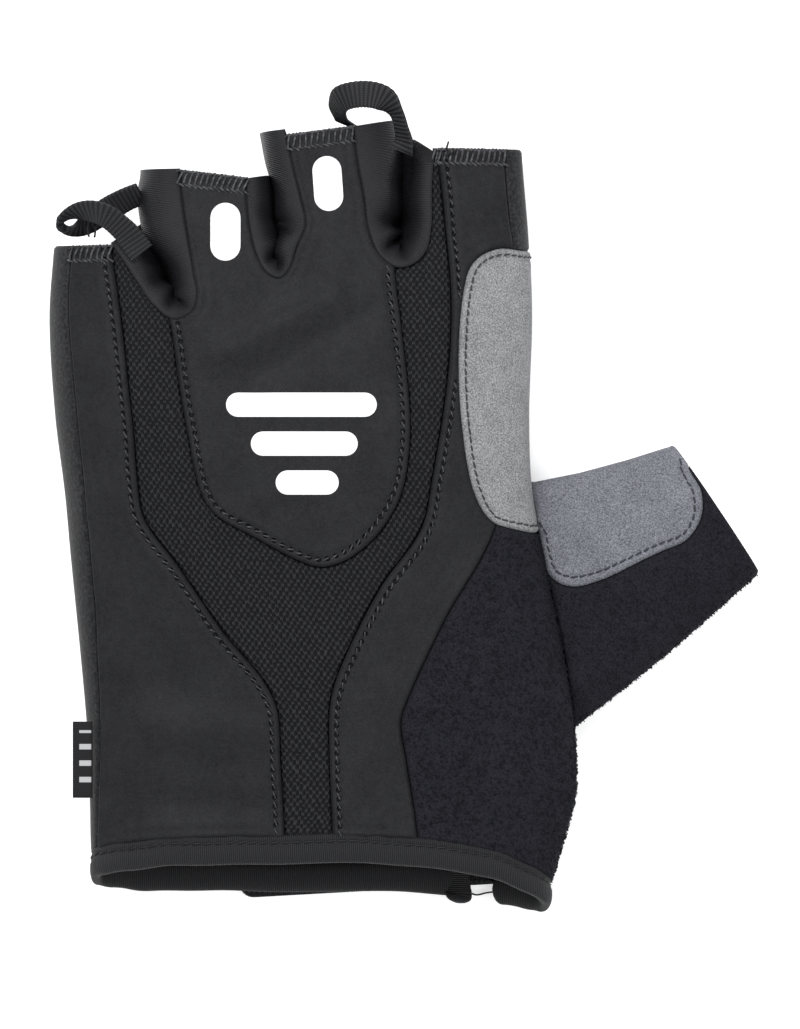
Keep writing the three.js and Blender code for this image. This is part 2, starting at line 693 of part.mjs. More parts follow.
function fasteningTab() {
  const { left, right, lower, upper, corner } = TAB;
  const steps = 5;
  const outline = [new THREE.Vector2(right, lower), new THREE.Vector2(right, upper)];
  for (const [y, from] of [[upper - corner, 90], [lower + corner, 180]]) {
    for (let i = 0; i <= steps; i += 1) {
      const angle = THREE.MathUtils.degToRad(from + (90 * i) / steps);
      outline.push(new THREE.Vector2(left + corner + corner * Math.cos(angle), y + corner * Math.sin(angle)));
    }
  }
  const pivot = new THREE.Vector2(left, lower);
  outline.forEach((point) => point.rotateAround(pivot, THREE.MathUtils.degToRad(TAB.turn)));
  return block(outline, 0, TAB.thickness);
}

function sideLabel() {
  const half = LABEL.length / 2;
  const outline = [
    [LABEL.out, LABEL.y - half],
    [LABEL.in, LABEL.y - half],
    [LABEL.in, LABEL.y + half],
    [LABEL.out, LABEL.y + half],
  ].map((p) => new THREE.Vector2(...p));
  return block(outline, LABEL.z, LABEL.z + LABEL.thickness);
}

// Assembly

const group = new THREE.Group();
const materials = Object.fromEntries(
  Object.entries(FINISHES).map(([name, look]) => [name, new THREE.MeshStandardMaterial({ name, ...look })]),
);

function place(name, finish, solid) {
  const mesh = new THREE.Mesh(toGeometry(solid), materials[finish]);
  mesh.name = name;
  group.add(mesh);
}

// Plan outline between two seam lines, each pulled in by half the seam gap
function between(leftRows, rightRows) {
  const left = moved(planLine(leftRows), SEAM_GAP / 2);
  const right = moved(planLine(rightRows), -SEAM_GAP / 2);
  return [...left, ...right.toReversed()];
}

const FAR = 90;
const sideLine = planLine(SIDE_SEAM);
const thumbSideLine = planLine(THUMB_SIDE_SEAM);
const outerSkin = handSolid(0);
const thumbHollow = thumbSolid(-WALL, 6);

// The hand tube with its finger crotches, tips, wrist and thumb hole cut out
let fabric = outerSkin.subtract(handSolid(-WALL)).intersect(beyondWrist()).subtract(thumbHollow);
const tips = TIPS.map((row) => new THREE.Vector2(row.x, row.y));
fabric = fabric.subtract(block([...tips, new THREE.Vector2(90, 130), new THREE.Vector2(-90, 130)]));
for (const rows of Object.values(CROTCHES)) {
  const line = planLine(rows);
  const first = line[0];
  const last = line.at(-1);
  fabric = fabric.subtract(
    block([new THREE.Vector2(first.x, 130), ...line, new THREE.Vector2(last.x, 130)]),
  );
}

const upper = fabric.intersect(slab(SIDE_SPLIT, 60));
const back = fabric.intersect(slab(BACK_LOWEST, 60));
const tongue = planLine(TONGUE, 60);
const handPatch = planLine(HAND_PATCH, 40);
const handPatchBlock = block(handPatch);
const handPatchHole = block(moved(handPatch, -SEAM_GAP));

place("outer_back_panel", "back_knit", back.intersect(block(between(SIDE_SEAM, OUTER_MESH_SEAM))));
place(
  "mesh_panel",
  "air_mesh",
  back
    .intersect(block(between(OUTER_MESH_SEAM, INNER_MESH_SEAM)))
    .subtract(block(moved(tongue, -SEAM_GAP))),
);
place("knuckle_panel", "back_knit", back.intersect(block(tongue)));
place(
  "inner_back_panel",
  "back_knit",
  back.intersect(block(between(INNER_MESH_SEAM, THUMB_SIDE_SEAM))).subtract(handPatchHole),
);
place("hand_suede_patch", "suede", upper.intersect(handPatchBlock));

const thumbSideRegion = block([
  ...moved(thumbSideLine, SEAM_GAP / 2),
  new THREE.Vector2(FAR, -82),
  new THREE.Vector2(FAR, 100),
]);
const belowPatch = block([[-FAR, 8], [FAR, 8], [FAR, -FAR], [-FAR, -FAR]].map((p) => new THREE.Vector2(...p)));
place(
  "thenar_panel",
  "terry",
  upper.intersect(thumbSideRegion).intersect(belowPatch).subtract(handPatchHole),
);

const lower = fabric.intersect(slab(-5, SIDE_SPLIT - SEAM_GAP));
const outerWrap = fabric.intersect(
  block([...moved(sideLine, -SEAM_GAP / 2), new THREE.Vector2(-FAR, -82), new THREE.Vector2(-FAR, 100)]),
);
const indexWrap = fabric.intersect(thumbSideRegion).subtract(belowPatch).subtract(handPatchHole);
const slitCut = block(slitOutline(SLIT.edge + SEAM_GAP), -5, 9);
place("palm_panel", "palm", lower.add(outerWrap).add(indexWrap).subtract(slitCut));

// Thumb stall outside the hand, with its suede patch let in
const thumbTube = thumbSolid(0).subtract(thumbHollow).subtract(handSolid(SEAM_GAP));
const patchHeight = slab(SIDE_SPLIT, 60);
const thumbPatch = THUMB_PATCH.map((row) => new THREE.Vector2(row.x, row.y));
place("thumb_suede_patch", "suede", thumbTube.intersect(block(thumbPatch)).intersect(patchHeight));
place(
  "thumb_stall",
  "terry",
  thumbTube.subtract(block(moved(thumbPatch, SEAM_GAP), SIDE_SPLIT - SEAM_GAP, 60)),
);

for (const [name, rows] of Object.entries(CROTCHES)) place("gusset_" + name, "gusset_knit", gusset(rows));

place("wrist_binding", "binding_knit", wristBinding());
place("fastening_tab", "hook_tape", fasteningTab());
place("side_label", "label", sideLabel());
place("pull_loop_finger", "webbing", webbing(FINGER_LOOP));
place("pull_loop_side", "webbing", webbing(SIDE_LOOP));

// Films lie just above the knuckle panel
const film = handSolid(SEAM_GAP + FILM).subtract(handSolid(SEAM_GAP)).intersect(slab(12, 60));
for (const oval of OVALS) {
  place(oval.name, "reflective", film.intersect(block(capsule({ ...oval, turn: oval.turn + 90 }))));
}
for (const bar of BARS) {
  place(bar.name, "reflective", film.intersect(block(capsule({ ...bar, turn: 0 }))));
}

export default group;
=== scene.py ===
# %% [markdown]
# # A fingerless cycling glove
# The glove lies empty on its palm, back of the hand up, and is seen from straight above. Its solids
# are already packed: a hollow shell cut along the seams. This script dresses them. Every visible
# piece is made again with its cloth's own relief, in the place of its solid.
# Sizes are in millimetres here, because seams and stitches are easier to read that way, and each mesh
# is scaled to metres once, as it is made.

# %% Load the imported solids
import math

import bmesh
import bpy
import numpy as np
from mathutils.geometry import delaunay_2d_cdt
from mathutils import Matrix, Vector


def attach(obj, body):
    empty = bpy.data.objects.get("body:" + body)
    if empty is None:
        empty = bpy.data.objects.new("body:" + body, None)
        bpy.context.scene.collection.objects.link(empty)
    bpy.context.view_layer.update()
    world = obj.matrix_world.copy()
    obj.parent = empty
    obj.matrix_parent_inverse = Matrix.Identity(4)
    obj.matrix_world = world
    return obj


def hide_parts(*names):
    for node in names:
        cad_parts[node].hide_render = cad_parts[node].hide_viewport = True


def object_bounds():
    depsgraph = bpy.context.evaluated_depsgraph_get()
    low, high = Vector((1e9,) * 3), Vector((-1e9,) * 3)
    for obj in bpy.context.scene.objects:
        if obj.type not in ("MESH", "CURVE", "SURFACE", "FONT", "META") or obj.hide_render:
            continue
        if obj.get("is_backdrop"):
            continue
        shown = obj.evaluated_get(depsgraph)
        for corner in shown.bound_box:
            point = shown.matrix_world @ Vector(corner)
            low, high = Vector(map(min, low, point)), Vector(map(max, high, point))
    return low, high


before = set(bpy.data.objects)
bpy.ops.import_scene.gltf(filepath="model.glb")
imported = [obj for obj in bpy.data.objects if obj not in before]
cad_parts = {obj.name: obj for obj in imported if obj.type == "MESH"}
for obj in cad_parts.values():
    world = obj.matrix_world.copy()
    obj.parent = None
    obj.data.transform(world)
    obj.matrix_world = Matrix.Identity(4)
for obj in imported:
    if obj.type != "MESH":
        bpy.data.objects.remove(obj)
solid_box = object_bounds()
MM = 0.001
print("solids:", len(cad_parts), "box:", solid_box)

# %% [markdown]
# ## Camera, floor and light
# The picture was taken from straight above with a long lens, on white. A camera 2.4 m up keeps the
# edges of the glove parallel, and a large softbox over the finger side with a weaker fill gives
# black cloth its faint sheen without a hard shadow.

# %% Place the camera over the glove
PIXEL = 0.207  # millimetres per pixel of the 800 x 1029 picture
ORIGIN_PIXEL = (300, 560)
PICTURE = (800, 1029)
CAMERA_HEIGHT = 2400
FOCUS_HEIGHT = 13  # the scale holds at this height over the floor
SENSOR = 36

middle_x = (PICTURE[0] / 2 - ORIGIN_PIXEL[0]) * PIXEL
middle_y = (ORIGIN_PIXEL[1] - PICTURE[1] / 2) * PIXEL
camera_data = bpy.data.cameras.new("camera")
camera_data.sensor_fit = "VERTICAL"
camera_data.sensor_height = SENSOR
camera_data.lens = SENSOR * (CAMERA_HEIGHT - FOCUS_HEIGHT) / (PICTURE[1] * PIXEL)
camera_data.clip_end = 50
camera = bpy.data.objects.new("camera", camera_data)
camera.location = (middle_x * MM, middle_y * MM, CAMERA_HEIGHT * MM)
bpy.context.scene.collection.objects.link(camera)
bpy.context.scene.camera = camera
bpy.context.scene.view_settings.view_transform = "Standard"
print("lens", round(camera_data.lens, 1), "mm at", tuple(round(v, 4) for v in camera.location))

# %% Light the white floor softly
LAMPS = [
    {"name": "softbox", "at": (-0.35, 0.75, 1.15), "size": 0.9, "watts": 15.0},
    {"name": "fill", "at": (0.7, -0.5, 1.0), "size": 1.0, "watts": 5.5},
]
for lamp in LAMPS:
    light = bpy.data.lights.new(lamp["name"], "AREA")
    light.shape = "DISK"
    light.size = lamp["size"]
    light.energy = lamp["watts"]
    holder = bpy.data.objects.new(lamp["name"], light)
    holder.location = lamp["at"]
    aim = -holder.location
    holder.rotation_euler = aim.to_track_quat("-Z", "Y").to_euler()
    bpy.context.scene.collection.objects.link(holder)

SKY_COLOUR = (0.98, 0.99, 1.0, 1.0)
SKY_STRENGTH = 0.72
sky = bpy.data.worlds.new("studio")
sky.use_nodes = True
background = sky.node_tree.nodes["Background"]
background.inputs["Color"].default_value = SKY_COLOUR
background.inputs["Strength"].default_value = SKY_STRENGTH
bpy.context.scene.world = sky

FLOOR_REACH = 3.0  # metres from the middle to each side
floor_corners = [(x * FLOOR_REACH, y * FLOOR_REACH, 0) for x, y in ((-1, -1), (1, -1), (1, 1), (-1, 1))]
floor_mesh = bpy.data.meshes.new("floor")
floor_mesh.from_pydata(floor_corners, [], [(0, 1, 2, 3)])
floor = bpy.data.objects.new("floor", floor_mesh)
bpy.context.scene.collection.objects.link(floor)
floor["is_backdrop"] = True
print("lights:", [lamp["name"] for lamp in LAMPS])

# %% [markdown]
# ## The glove's measures
# Cross-sections of the hand and thumb, seam lines seen from above, and the crotches between the
# fingers. The solids were made from the same tables, but for the open end of the gusset between the
# little and ring fingers, which bulges up to 1.6 mm further here.

# %% Sections of the hand and the thumb
WALL = 1.5
SEAM_GAP = 0.3
SIDE_SPLIT = 5
BACK_POWER = 2.4
PALM_POWER = 3.2
PALM_FLATTENING = 1.12

HAND = [
    # y, left, right, top, bottom, left_side, right_side
    (-78, -41, 49, 21, 2.4, 9, 10),
    (-62, -43.2, 53.6, 21.5, 2.4, 9, 11),
    (-50, -43.6, 57, 22, 2.4, 9, 12),
    (-44, -43.8, 57.4, 22.5, 2.4, 9, 12.5),
    (-36, -44.1, 57, 23, 0, 9, 13),
    (-20, -45.5, 54.6, 24, 0, 9, 13),
    (0, -47.5, 50.5, 25.5, 0, 9, 13),
    (14, -48.8, 48, 26.5, 0, 9, 12),
    (30, -50.8, 47.4, 27, 0, 9, 10),
    (50, -52, 48, 25.5, 0, 8.5, 9),
    (66, -51, 47.4, 22, 0, 8, 8.5),
    (84, -50, 46, 18.5, 0, 8, 8.5),
    (98, -50, 45.5, 17, 0, 8, 8.5),
]
DENTS = [
    # x, y, depth, radius_x, radius_y
    (-6, 49, 1, 8, 14),
    (-27, 37, 0.8, 9, 16),
    (22, 44, 0.9, 7, 16),
    (34, -2, 0.8, 9, 11),
    (0, -40, 0.9, 12, 16),
]
WRIST = {"back_edge": -56, "middle": 5, "half": 48, "top": 21.5, "bottom": 2.4, "slant": 6.2, "droop": 6.4}
THUMB = [
    # finger_x, finger_y, wrist_x, wrist_y, top
    (32, 15, 38, -37, 11),
    (49.1, 16.1, 57.1, -34.8, 11.5),
    (58, 17.9, 68.5, -25.9, 13),
    (68, 20.6, 80, -16.4, 14.5),
    (77.8, 23.7, 95.5, -2.6, 15.5),
]

# %% Seam lines seen from above
SIDE_SEAM = [
    (-47.2, 100), (-47.3, 66), (-48, 53), (-46.3, 31), (-44.3, 12),
    (-42.2, -17), (-41.4, -36), (-41.8, -50), (-42.4, -82),
]
OUTER_MESH_SEAM = [
    (-42, 100), (-39.3, 66), (-37.3, 52), (-34.4, 27), (-33.6, 16), (-32.2, 8.5), (-24.8, -1.7),
    (-15.7, -15), (-7.4, -25), (-4.6, -31), (-3.9, -42), (-3.2, -56), (-3, -82),
]
INNER_MESH_SEAM = [
    (28.2, 100), (28.6, 85), (30, 71), (31.4, 54), (30.7, 38), (27.5, 17), (25.2, 6.5),
    (17, -5.2), (11.2, -16), (7.2, -25.5), (6.1, -31), (6.1, -42), (6.7, -56), (7, -82),
]
THUMB_SIDE_SEAM = [
    (42, 100), (42.4, 84), (43.4, 71), (44.6, 60), (45.5, 30), (40.2, 6), (30, -12.4),
    (22.4, -28.6), (20.9, -33.4), (22, -41.4), (24.2, -56), (26, -82),
]
TONGUE = [
    (-31.5, 100), (-29, 58), (-26.9, 49.7), (-24.4, 33), (-22.6, 23.6), (-20.4, 14), (-17.6, 9.6),
    (-8.9, 4.4), (-0.6, 0), (4.3, -1.5), (9.3, -0.2), (14.3, 3.3), (18.4, 8.3), (21.3, 14.5),
    (22.7, 23), (22.8, 31), (20.9, 49.5), (19.7, 60), (19.7, 100),
]
HAND_PATCH = [
    (60, 61.5), (47.4, 62.6), (42.8, 64.4), (38.6, 63.5), (35.5, 60.8), (33.9, 55.2), (32.9, 42),
    (33.6, 27.7), (36.1, 14), (39.2, 8.6), (43.1, 6.4), (48.9, 5.4), (60, 5.2),
]
THUMB_PATCH = [
    (44, 30), (79.8, 33), (78.6, 24), (80.6, 19.5), (83, 14), (82.8, 8.4), (80, 4.2), (74.2, 1.5),
    (61.9, -4.3), (56, -5.5), (52, -3.6), (49.8, 1), (48.5, 6), (44, 8),
]
CROTCHES = {
    # x, y, bulge, reach, pleat
    "little_ring": [
        (-38.9, 65.6, 4.4, 3.4, 0), (-36.2, 61.7, 4.8, 3.6, 0.3), (-33.2, 57.2, 4.2, 3.4, 0),
        (-30.2, 52.9, 3.6, 3.2, 0.5), (-26, 49.9, 3, 3, 0), (-22.2, 51.2, 2.8, 2.8, 0.6),
        (-21.2, 54.6, 3.6, 4.4, 0), (-22, 59.4, 4.6, 7, 0.4), (-23.6, 68.3, 8.6, 8.8, 0),
        (-24.6, 75.8, 9.4, 8.8, 0.3), (-24.9, 81, 8.2, 8, 0),
    ],
    "ring_middle": [
        (-11, 78.6, 3.4, 2.4, 0), (-10.8, 74.5, 3.4, 2.2, 0.3), (-10.1, 68.3, 3, 1.8, 0),
        (-8.7, 63, 2.2, 1.4, 0), (-6.6, 59.4, 1.7, 1.5, 0.4), (-4.1, 58.4, 1.5, 1.4, 0),
        (-2.2, 60.4, 1.6, 1.8, 0.6), (-0.9, 64.6, 4, 5.2, 0), (1, 69, 5.8, 7, 0.6),
        (0, 74.5, 5.6, 6.8, 0), (-1.6, 81, 5.4, 5, 0.3), (-3, 88.2, 5.2, 4, 0),
    ],
    "middle_index": [
        (11, 89.6, 9.4, 9.6, 0), (11.9, 82.7, 9.2, 10.4, 0.3), (13.4, 75, 7, 8.6, 0),
        (14.4, 67.8, 5.4, 7.2, 0.5), (16.6, 63, 3.6, 4.4, 0), (20, 60.6, 3.2, 3.2, 0.6),
        (23.4, 61.3, 3.4, 2.8, 0), (25.9, 64, 4, 3, 0.5), (27, 69, 4.8, 3.4, 0),
        (27.1, 77, 4.8, 3.4, 0.4), (27.6, 85, 4.4, 3.2, 0),
    ],
}
SLIT = {"x": 37.4, "half": 2.3, "top": -43, "edge": 4.6}
print("crotches:", list(CROTCHES))

# %% [markdown]
# ## The skin of the hand
# The empty glove is one flattened tube. A point on it is named by its station along the hand and by a
# turn round the section, so a seam drawn on the back, the side or the palm is a line in one flat map.
# Cloth is then cut out of that map like a paper pattern, which keeps the triangles even.

# %% Smooth curves through tables
def catmull(points, spacing=0.8, measure=None):
    """Centripetal curve through rows of numbers, about `spacing` apart in the first `measure` columns."""
    rows = np.array(points, float)
    rows = np.vstack([2 * rows[0] - rows[1], rows, 2 * rows[-1] - rows[-2]])
    out = []
    for a, b, c, d in zip(rows, rows[1:], rows[2:], rows[3:]):
        roots = [np.linalg.norm((q - p)[:measure]) ** 0.5 for p, q in ((a, b), (b, c), (c, d))]
        knots = np.cumsum([0.0] + roots)
        count = max(2, int(np.linalg.norm((c - b)[:measure]) / spacing) + 1)
        for t in np.linspace(knots[1], knots[2], count, endpoint=False):
            blend = lambda p, q, i, j: (p * (knots[j] - t) + q * (t - knots[i])) / (knots[j] - knots[i])
            ab, bc, cd = blend(a, b, 0, 1), blend(b, c, 1, 2), blend(c, d, 2, 3)
            out.append(blend(blend(ab, bc, 0, 2), blend(bc, cd, 1, 3), 1, 2))
    out.append(rows[-2])
    return np.array(out)


def run_length(line):
    """How far along a line each of its points lies."""
    return np.concatenate([[0.0], np.cumsum(np.linalg.norm(np.diff(line, axis=0), axis=1))])


def unit(vectors):
    """Vectors made one long."""
    return vectors / (np.linalg.norm(vectors, axis=-1, keepdims=True) + 1e-12)


def moved(line, distance):
    """The line moved sideways in plan; positive goes to the left of its direction."""
    along = unit(np.gradient(line[:, :2], axis=0))
    return line[:, :2] + np.stack([-along[:, 1], along[:, 0]], 1) * distance


def evenly(line, pitch, start=0.0):
    """Points a pitch apart along a line of points in any number of columns."""
    so_far = run_length(line[:, :3])
    at = np.arange(start, so_far[-1], pitch)
    return np.stack([np.interp(at, so_far, line[:, k]) for k in range(line.shape[1])], 1)


def inside(outline, x, y):
    """Which points lie inside a closed plan outline."""
    x, y = np.asarray(x), np.asarray(y)
    hit = np.zeros(x.shape, bool)
    for (ax, ay), (bx, by) in zip(outline[:, :2], np.roll(outline[:, :2], -1, axis=0)):
        if ay == by:
            continue
        crossing = (ay > y) != (by > y)
        hit ^= crossing & (x < (bx - ax) * (y - ay) / (by - ay) + ax)
    return hit


# %% The skin as a function of station and turn
HAND_ROWS = np.array(HAND, float)
LEFT, RIGHT, TOP, BOTTOM, LEFT_SIDE, RIGHT_SIDE = range(1, 7)


def hand_column(index, y):
    """One measure of the hand at station y, on the same smooth curve as the solids."""
    ys, values = HAND_ROWS[:, 0], HAND_ROWS[:, index]
    i = np.clip(np.searchsorted(ys, y, side="right") - 1, 0, len(ys) - 2)
    before, after = np.maximum(i - 1, 0), np.minimum(i + 2, len(ys) - 1)
    step = ys[i + 1] - ys[i]
    t = np.clip((y - ys[i]) / step, 0, 1)
    slope_a = (values[i + 1] - values[before]) / (ys[i + 1] - ys[before])
    slope_b = (values[after] - values[i]) / (ys[after] - ys[i])
    ease = t * t * (3 - 2 * t)
    bend = slope_a * step * t * (1 - t) ** 2 + slope_b * step * t * t * (t - 1)
    return values[i] + (values[i + 1] - values[i]) * ease + bend


def dent(x, y):
    """How deep the soft hollows of the back are over a plan point."""
    total = 0
    for at_x, at_y, depth, radius_x, radius_y in DENTS:
        total = total + depth * np.exp(-(((x - at_x) / radius_x) ** 2) - ((y - at_y) / radius_y) ** 2)
    return total


def signed_power(value, power):
    """A power that keeps the value's sign, which squares off a round section."""
    return np.sign(value) * np.abs(value) ** power


def skin(turn, y, grow=0.0):
    """Point on the hand; turn is 0 at the thumb side, pi/2 on the back and pi at the little finger."""
    turn, y = np.broadcast_arrays(np.asarray(turn, float), np.asarray(y, float))
    back = np.sin(turn) >= 0
    power = np.where(back, BACK_POWER, PALM_POWER)
    across = signed_power(np.cos(turn), 2 / power)
    rise = np.abs(np.sin(turn)) ** (2 / power)
    share = (across + 1) / 2
    left, right = hand_column(LEFT, y) - grow, hand_column(RIGHT, y) + grow
    side = hand_column(LEFT_SIDE, y) * (1 - share) + hand_column(RIGHT_SIDE, y) * share
    x = left + (right - left) * share
    crown = hand_column(TOP, y) - dent(x, y) + grow
    depth = side - np.maximum(hand_column(BOTTOM, y), 0) + grow
    z = np.where(back, side + (crown - side) * rise, side - depth * np.minimum(1, PALM_FLATTENING * rise))
    return np.stack([x, y, z], -1)


def skin_normal(turn, y):
    """The direction straight out of the hand, from short steps round and along it."""
    round_it = skin(turn + 0.01, y) - skin(turn - 0.01, y)
    along_it = skin(turn, y + 0.3) - skin(turn, y - 0.3)
    return -unit(np.cross(round_it, along_it))


def turn_at(x, y, back=True):
    """The turn of the skin point over (or under) a plan point."""
    left, right = hand_column(LEFT, y), hand_column(RIGHT, y)
    across = np.clip(2 * (x - left) / (right - left) - 1, -0.99995, 0.99995)
    power = BACK_POWER if back else PALM_POWER
    turn = np.arccos(signed_power(across, power / 2))
    return turn if back else 2 * math.pi - turn


def wrist_edge(x, z):
    """The station of the cloth's raw edge at the wrist."""
    across = (x - WRIST["middle"]) / WRIST["half"]
    lower = np.clip((WRIST["top"] - z) / (WRIST["top"] - WRIST["bottom"]), 0, 1)
    return WRIST["back_edge"] - WRIST["slant"] * lower - WRIST["droop"] * np.maximum(0, across) ** 3


def rim_station(turn, beyond=0.0):
    """Where the wrist edge crosses each turn of the skin."""
    y = np.full(np.shape(turn), -60.0)
    for _ in range(6):
        point = skin(turn, y)
        y = wrist_edge(point[..., 0], point[..., 2]) - beyond
    return y


sample = skin(math.pi / 2, 30.0)
print("top of the back at station 30:", sample.round(2), "normal:", skin_normal(math.pi / 2, 30.0).round(2))

# %% [markdown]
# ## A flat map to cut patterns on
# A tailor cuts cloth flat. The map below unrolls the tube: `u` is the distance round a middle section,
# positive towards the thumb, and `y` is the station. Patterns drawn on it keep their size on the glove,
# so a stitch or a knitted rib of 0.4 mm is 0.4 mm everywhere.

# %% Unroll the hand
MAP_TURNS = np.linspace(-1.5, 2 * math.pi + 1.5, 2400)
MAP_STATION = 10.0  # the section whose distances the map keeps exactly
MAP_ARC = run_length(skin(MAP_TURNS, MAP_STATION))
MAP_ARC -= np.interp(math.pi / 2, MAP_TURNS, MAP_ARC)


def unroll(turn):
    return -np.interp(turn, MAP_TURNS, MAP_ARC)


def roll_up(u):
    return np.interp(-np.asarray(u), MAP_ARC, MAP_TURNS)


FOLDS = [
    # from x, y to x, y, height, half width: soft waves that cross the back
    (-13, 43.5, 7, 54.5, 1.25, 3.0),
    (-9, 38, 13, 50.5, -1.1, 3.2),
    (-24, 57, -17, 42, 0.6, 3.4),
    (15, 60, 17, 40, 0.5, 3.4),
    (-21, 21, -15, 8, 0.6, 2.6),
    (17, 26, 20, 12, 0.4, 2.2),
    (-33, -34, -12, -36, 0.9, 5.0),
    (-38, -10, -24, -28, -0.7, 5.0),
    (-35, 40, -42, 10, 0.4, 4.0),
    (12, -30, 17, -52, 0.7, 3.2),
    (-30, -50, -8, -51, -0.5, 3.0),
    (34, 76, 42, 66, 0.7, 2.6),
    (33, 67, 40, 62, -0.6, 2.4),
    (36, -20, 46, -46, 0.6, 6.0),
    (30, -36, 34, -52, -0.5, 4.0),
    (-4, -8, 4, -20, 0.4, 4.0),
]


def folds(x, y):
    """Low waves of the empty glove's back, in millimetres."""
    total = np.zeros(np.shape(x))
    for ax, ay, bx, by, height, width in FOLDS:
        dx, dy = bx - ax, by - ay
        t = np.clip(((x - ax) * dx + (y - ay) * dy) / (dx * dx + dy * dy), 0, 1)
        away = np.hypot(x - ax - t * dx, y - ay - t * dy)
        total = total + height * np.exp(-((away / width) ** 2))
    gathers = np.sin(x * 0.9 + 1.1 * np.sin(x * 0.37)) * np.sin(x * 0.23 + 1)
    return total + 0.3 * gathers * np.exp(-(((y + 56) / 6.0) ** 2))


class Hand:
    """The hand's skin as a ground for panels; p is u on the flat map and q the station."""

    @staticmethod
    def point(p, q):
        return skin(roll_up(p), q)

    @staticmethod
    def normal(p, q):
        return skin_normal(roll_up(p), q)

    @staticmethod
    def relief(p, q):
        place = skin(roll_up(p), q)
        return folds(place[..., 0], place[..., 1]) * np.clip(np.sin(roll_up(p)) * 2.2, 0, 1)


def on_back(line):
    line = np.asarray(line, float)
    return np.stack([unroll(turn_at(line[:, 0], line[:, 1])), line[:, 1]], 1)


def on_palm(line):
    line = np.asarray(line, float)
    return np.stack([unroll(turn_at(line[:, 0], line[:, 1], back=False)), line[:, 1]], 1)


print("flat map runs from u", round(float(-MAP_ARC[-1])), "to", round(float(-MAP_ARC[0])), "mm")

# %% Join lines into a pattern outline
def crossings(a, b):
    """Places where two lines cross, as (place on a, place on b, point)."""
    found = []
    da, db = np.diff(a, axis=0), np.diff(b, axis=0)
    for i in range(len(da)):
        across = da[i, 0] * db[:, 1] - da[i, 1] * db[:, 0]
        across = np.where(np.abs(across) < 1e-12, 1e-12, across)
        gap = b[:-1] - a[i]
        s = (gap[:, 0] * db[:, 1] - gap[:, 1] * db[:, 0]) / across
        t = (gap[:, 0] * da[i, 1] - gap[:, 1] * da[i, 0]) / across
        for j in np.nonzero((s >= 0) & (s < 1) & (t >= 0) & (t < 1))[0]:
            found.append((i + s[j], j + t[j], a[i] + da[i] * s[j]))
    return sorted(found, key=lambda hit: hit[0])


def pattern(*lines, start=0.0):
    """Closed outline that follows each line until it crosses the next one."""
    lines = [np.asarray(line, float) for line in lines]
    for _ in range(2):  # the first round only finds where the last line meets the first
        outline = []
        for i, line in enumerate(lines):
            following = lines[(i + 1) % len(lines)]
            hits = [hit for hit in crossings(line, following) if hit[0] > start + 0.05]
            if not hits:
                raise ValueError(f"line {i} doesn't cross the next one")
            reached, next_start, place = hits[0]
            outline += [line[k] for k in range(int(start) + 1, int(reached) + 1)] + [place]
            start = next_start
    return np.array(outline)


def closed_evenly(outline, pitch):
    """A closed outline with points a pitch apart, its sharp corners kept."""
    ring = np.vstack([outline, outline[:1]])
    keep = np.concatenate([[True], np.linalg.norm(np.diff(ring, axis=0), axis=1) > 1e-6])
    ring = ring[keep]
    steps = np.diff(ring, axis=0)
    heading = steps / np.linalg.norm(steps, axis=1, keepdims=True)
    bend = np.einsum("ij,ij->i", heading, np.roll(heading, 1, axis=0))
    corners = [0] + [i for i in range(1, len(steps)) if bend[i] < 0.8] + [len(steps)]
    out = []
    for a, b in zip(corners[:-1], corners[1:]):
        piece = ring[a : b + 1]
        length = np.linalg.norm(np.diff(piece, axis=0), axis=1).sum()
        count = max(1, round(length / pitch))
        out.append(evenly(piece, length / count)[:count])
    return np.vstack(out)


def near_line(line, points):
    """Distance from points to a line, and how far along the line the nearest place is."""
    best = np.full(len(points), 1e9)
    place = np.zeros(len(points))
    so_far = 0.0
    for a, b in zip(line[:-1], line[1:]):
        step = b - a
        length = float(np.hypot(*step)) + 1e-12
        t = np.clip(((points - a) @ step) / length**2, 0, 1)
        away = np.hypot(*(points - a - t[:, None] * step).T)
        closer = away < best
        best[closer], place[closer] = away[closer], so_far + t[closer] * length
        so_far += length
    return best, place


# %% [markdown]
# ## Panels with real thickness
# One function cuts every sewn panel. Points are laid in a close triangular grid on the flat map, with
# extra rows along the edge and along each line of stitching, and Blender's Delaunay routine joins them.
# The same triangles are then placed twice on the glove, as the outer and the inner face, and bridged
# along the outline. The edge rolls over, and each stitch pulls a small pit into the cloth.

# %% Cut and place a panel
ROLL = 0.8  # how far the rolled edge reaches in


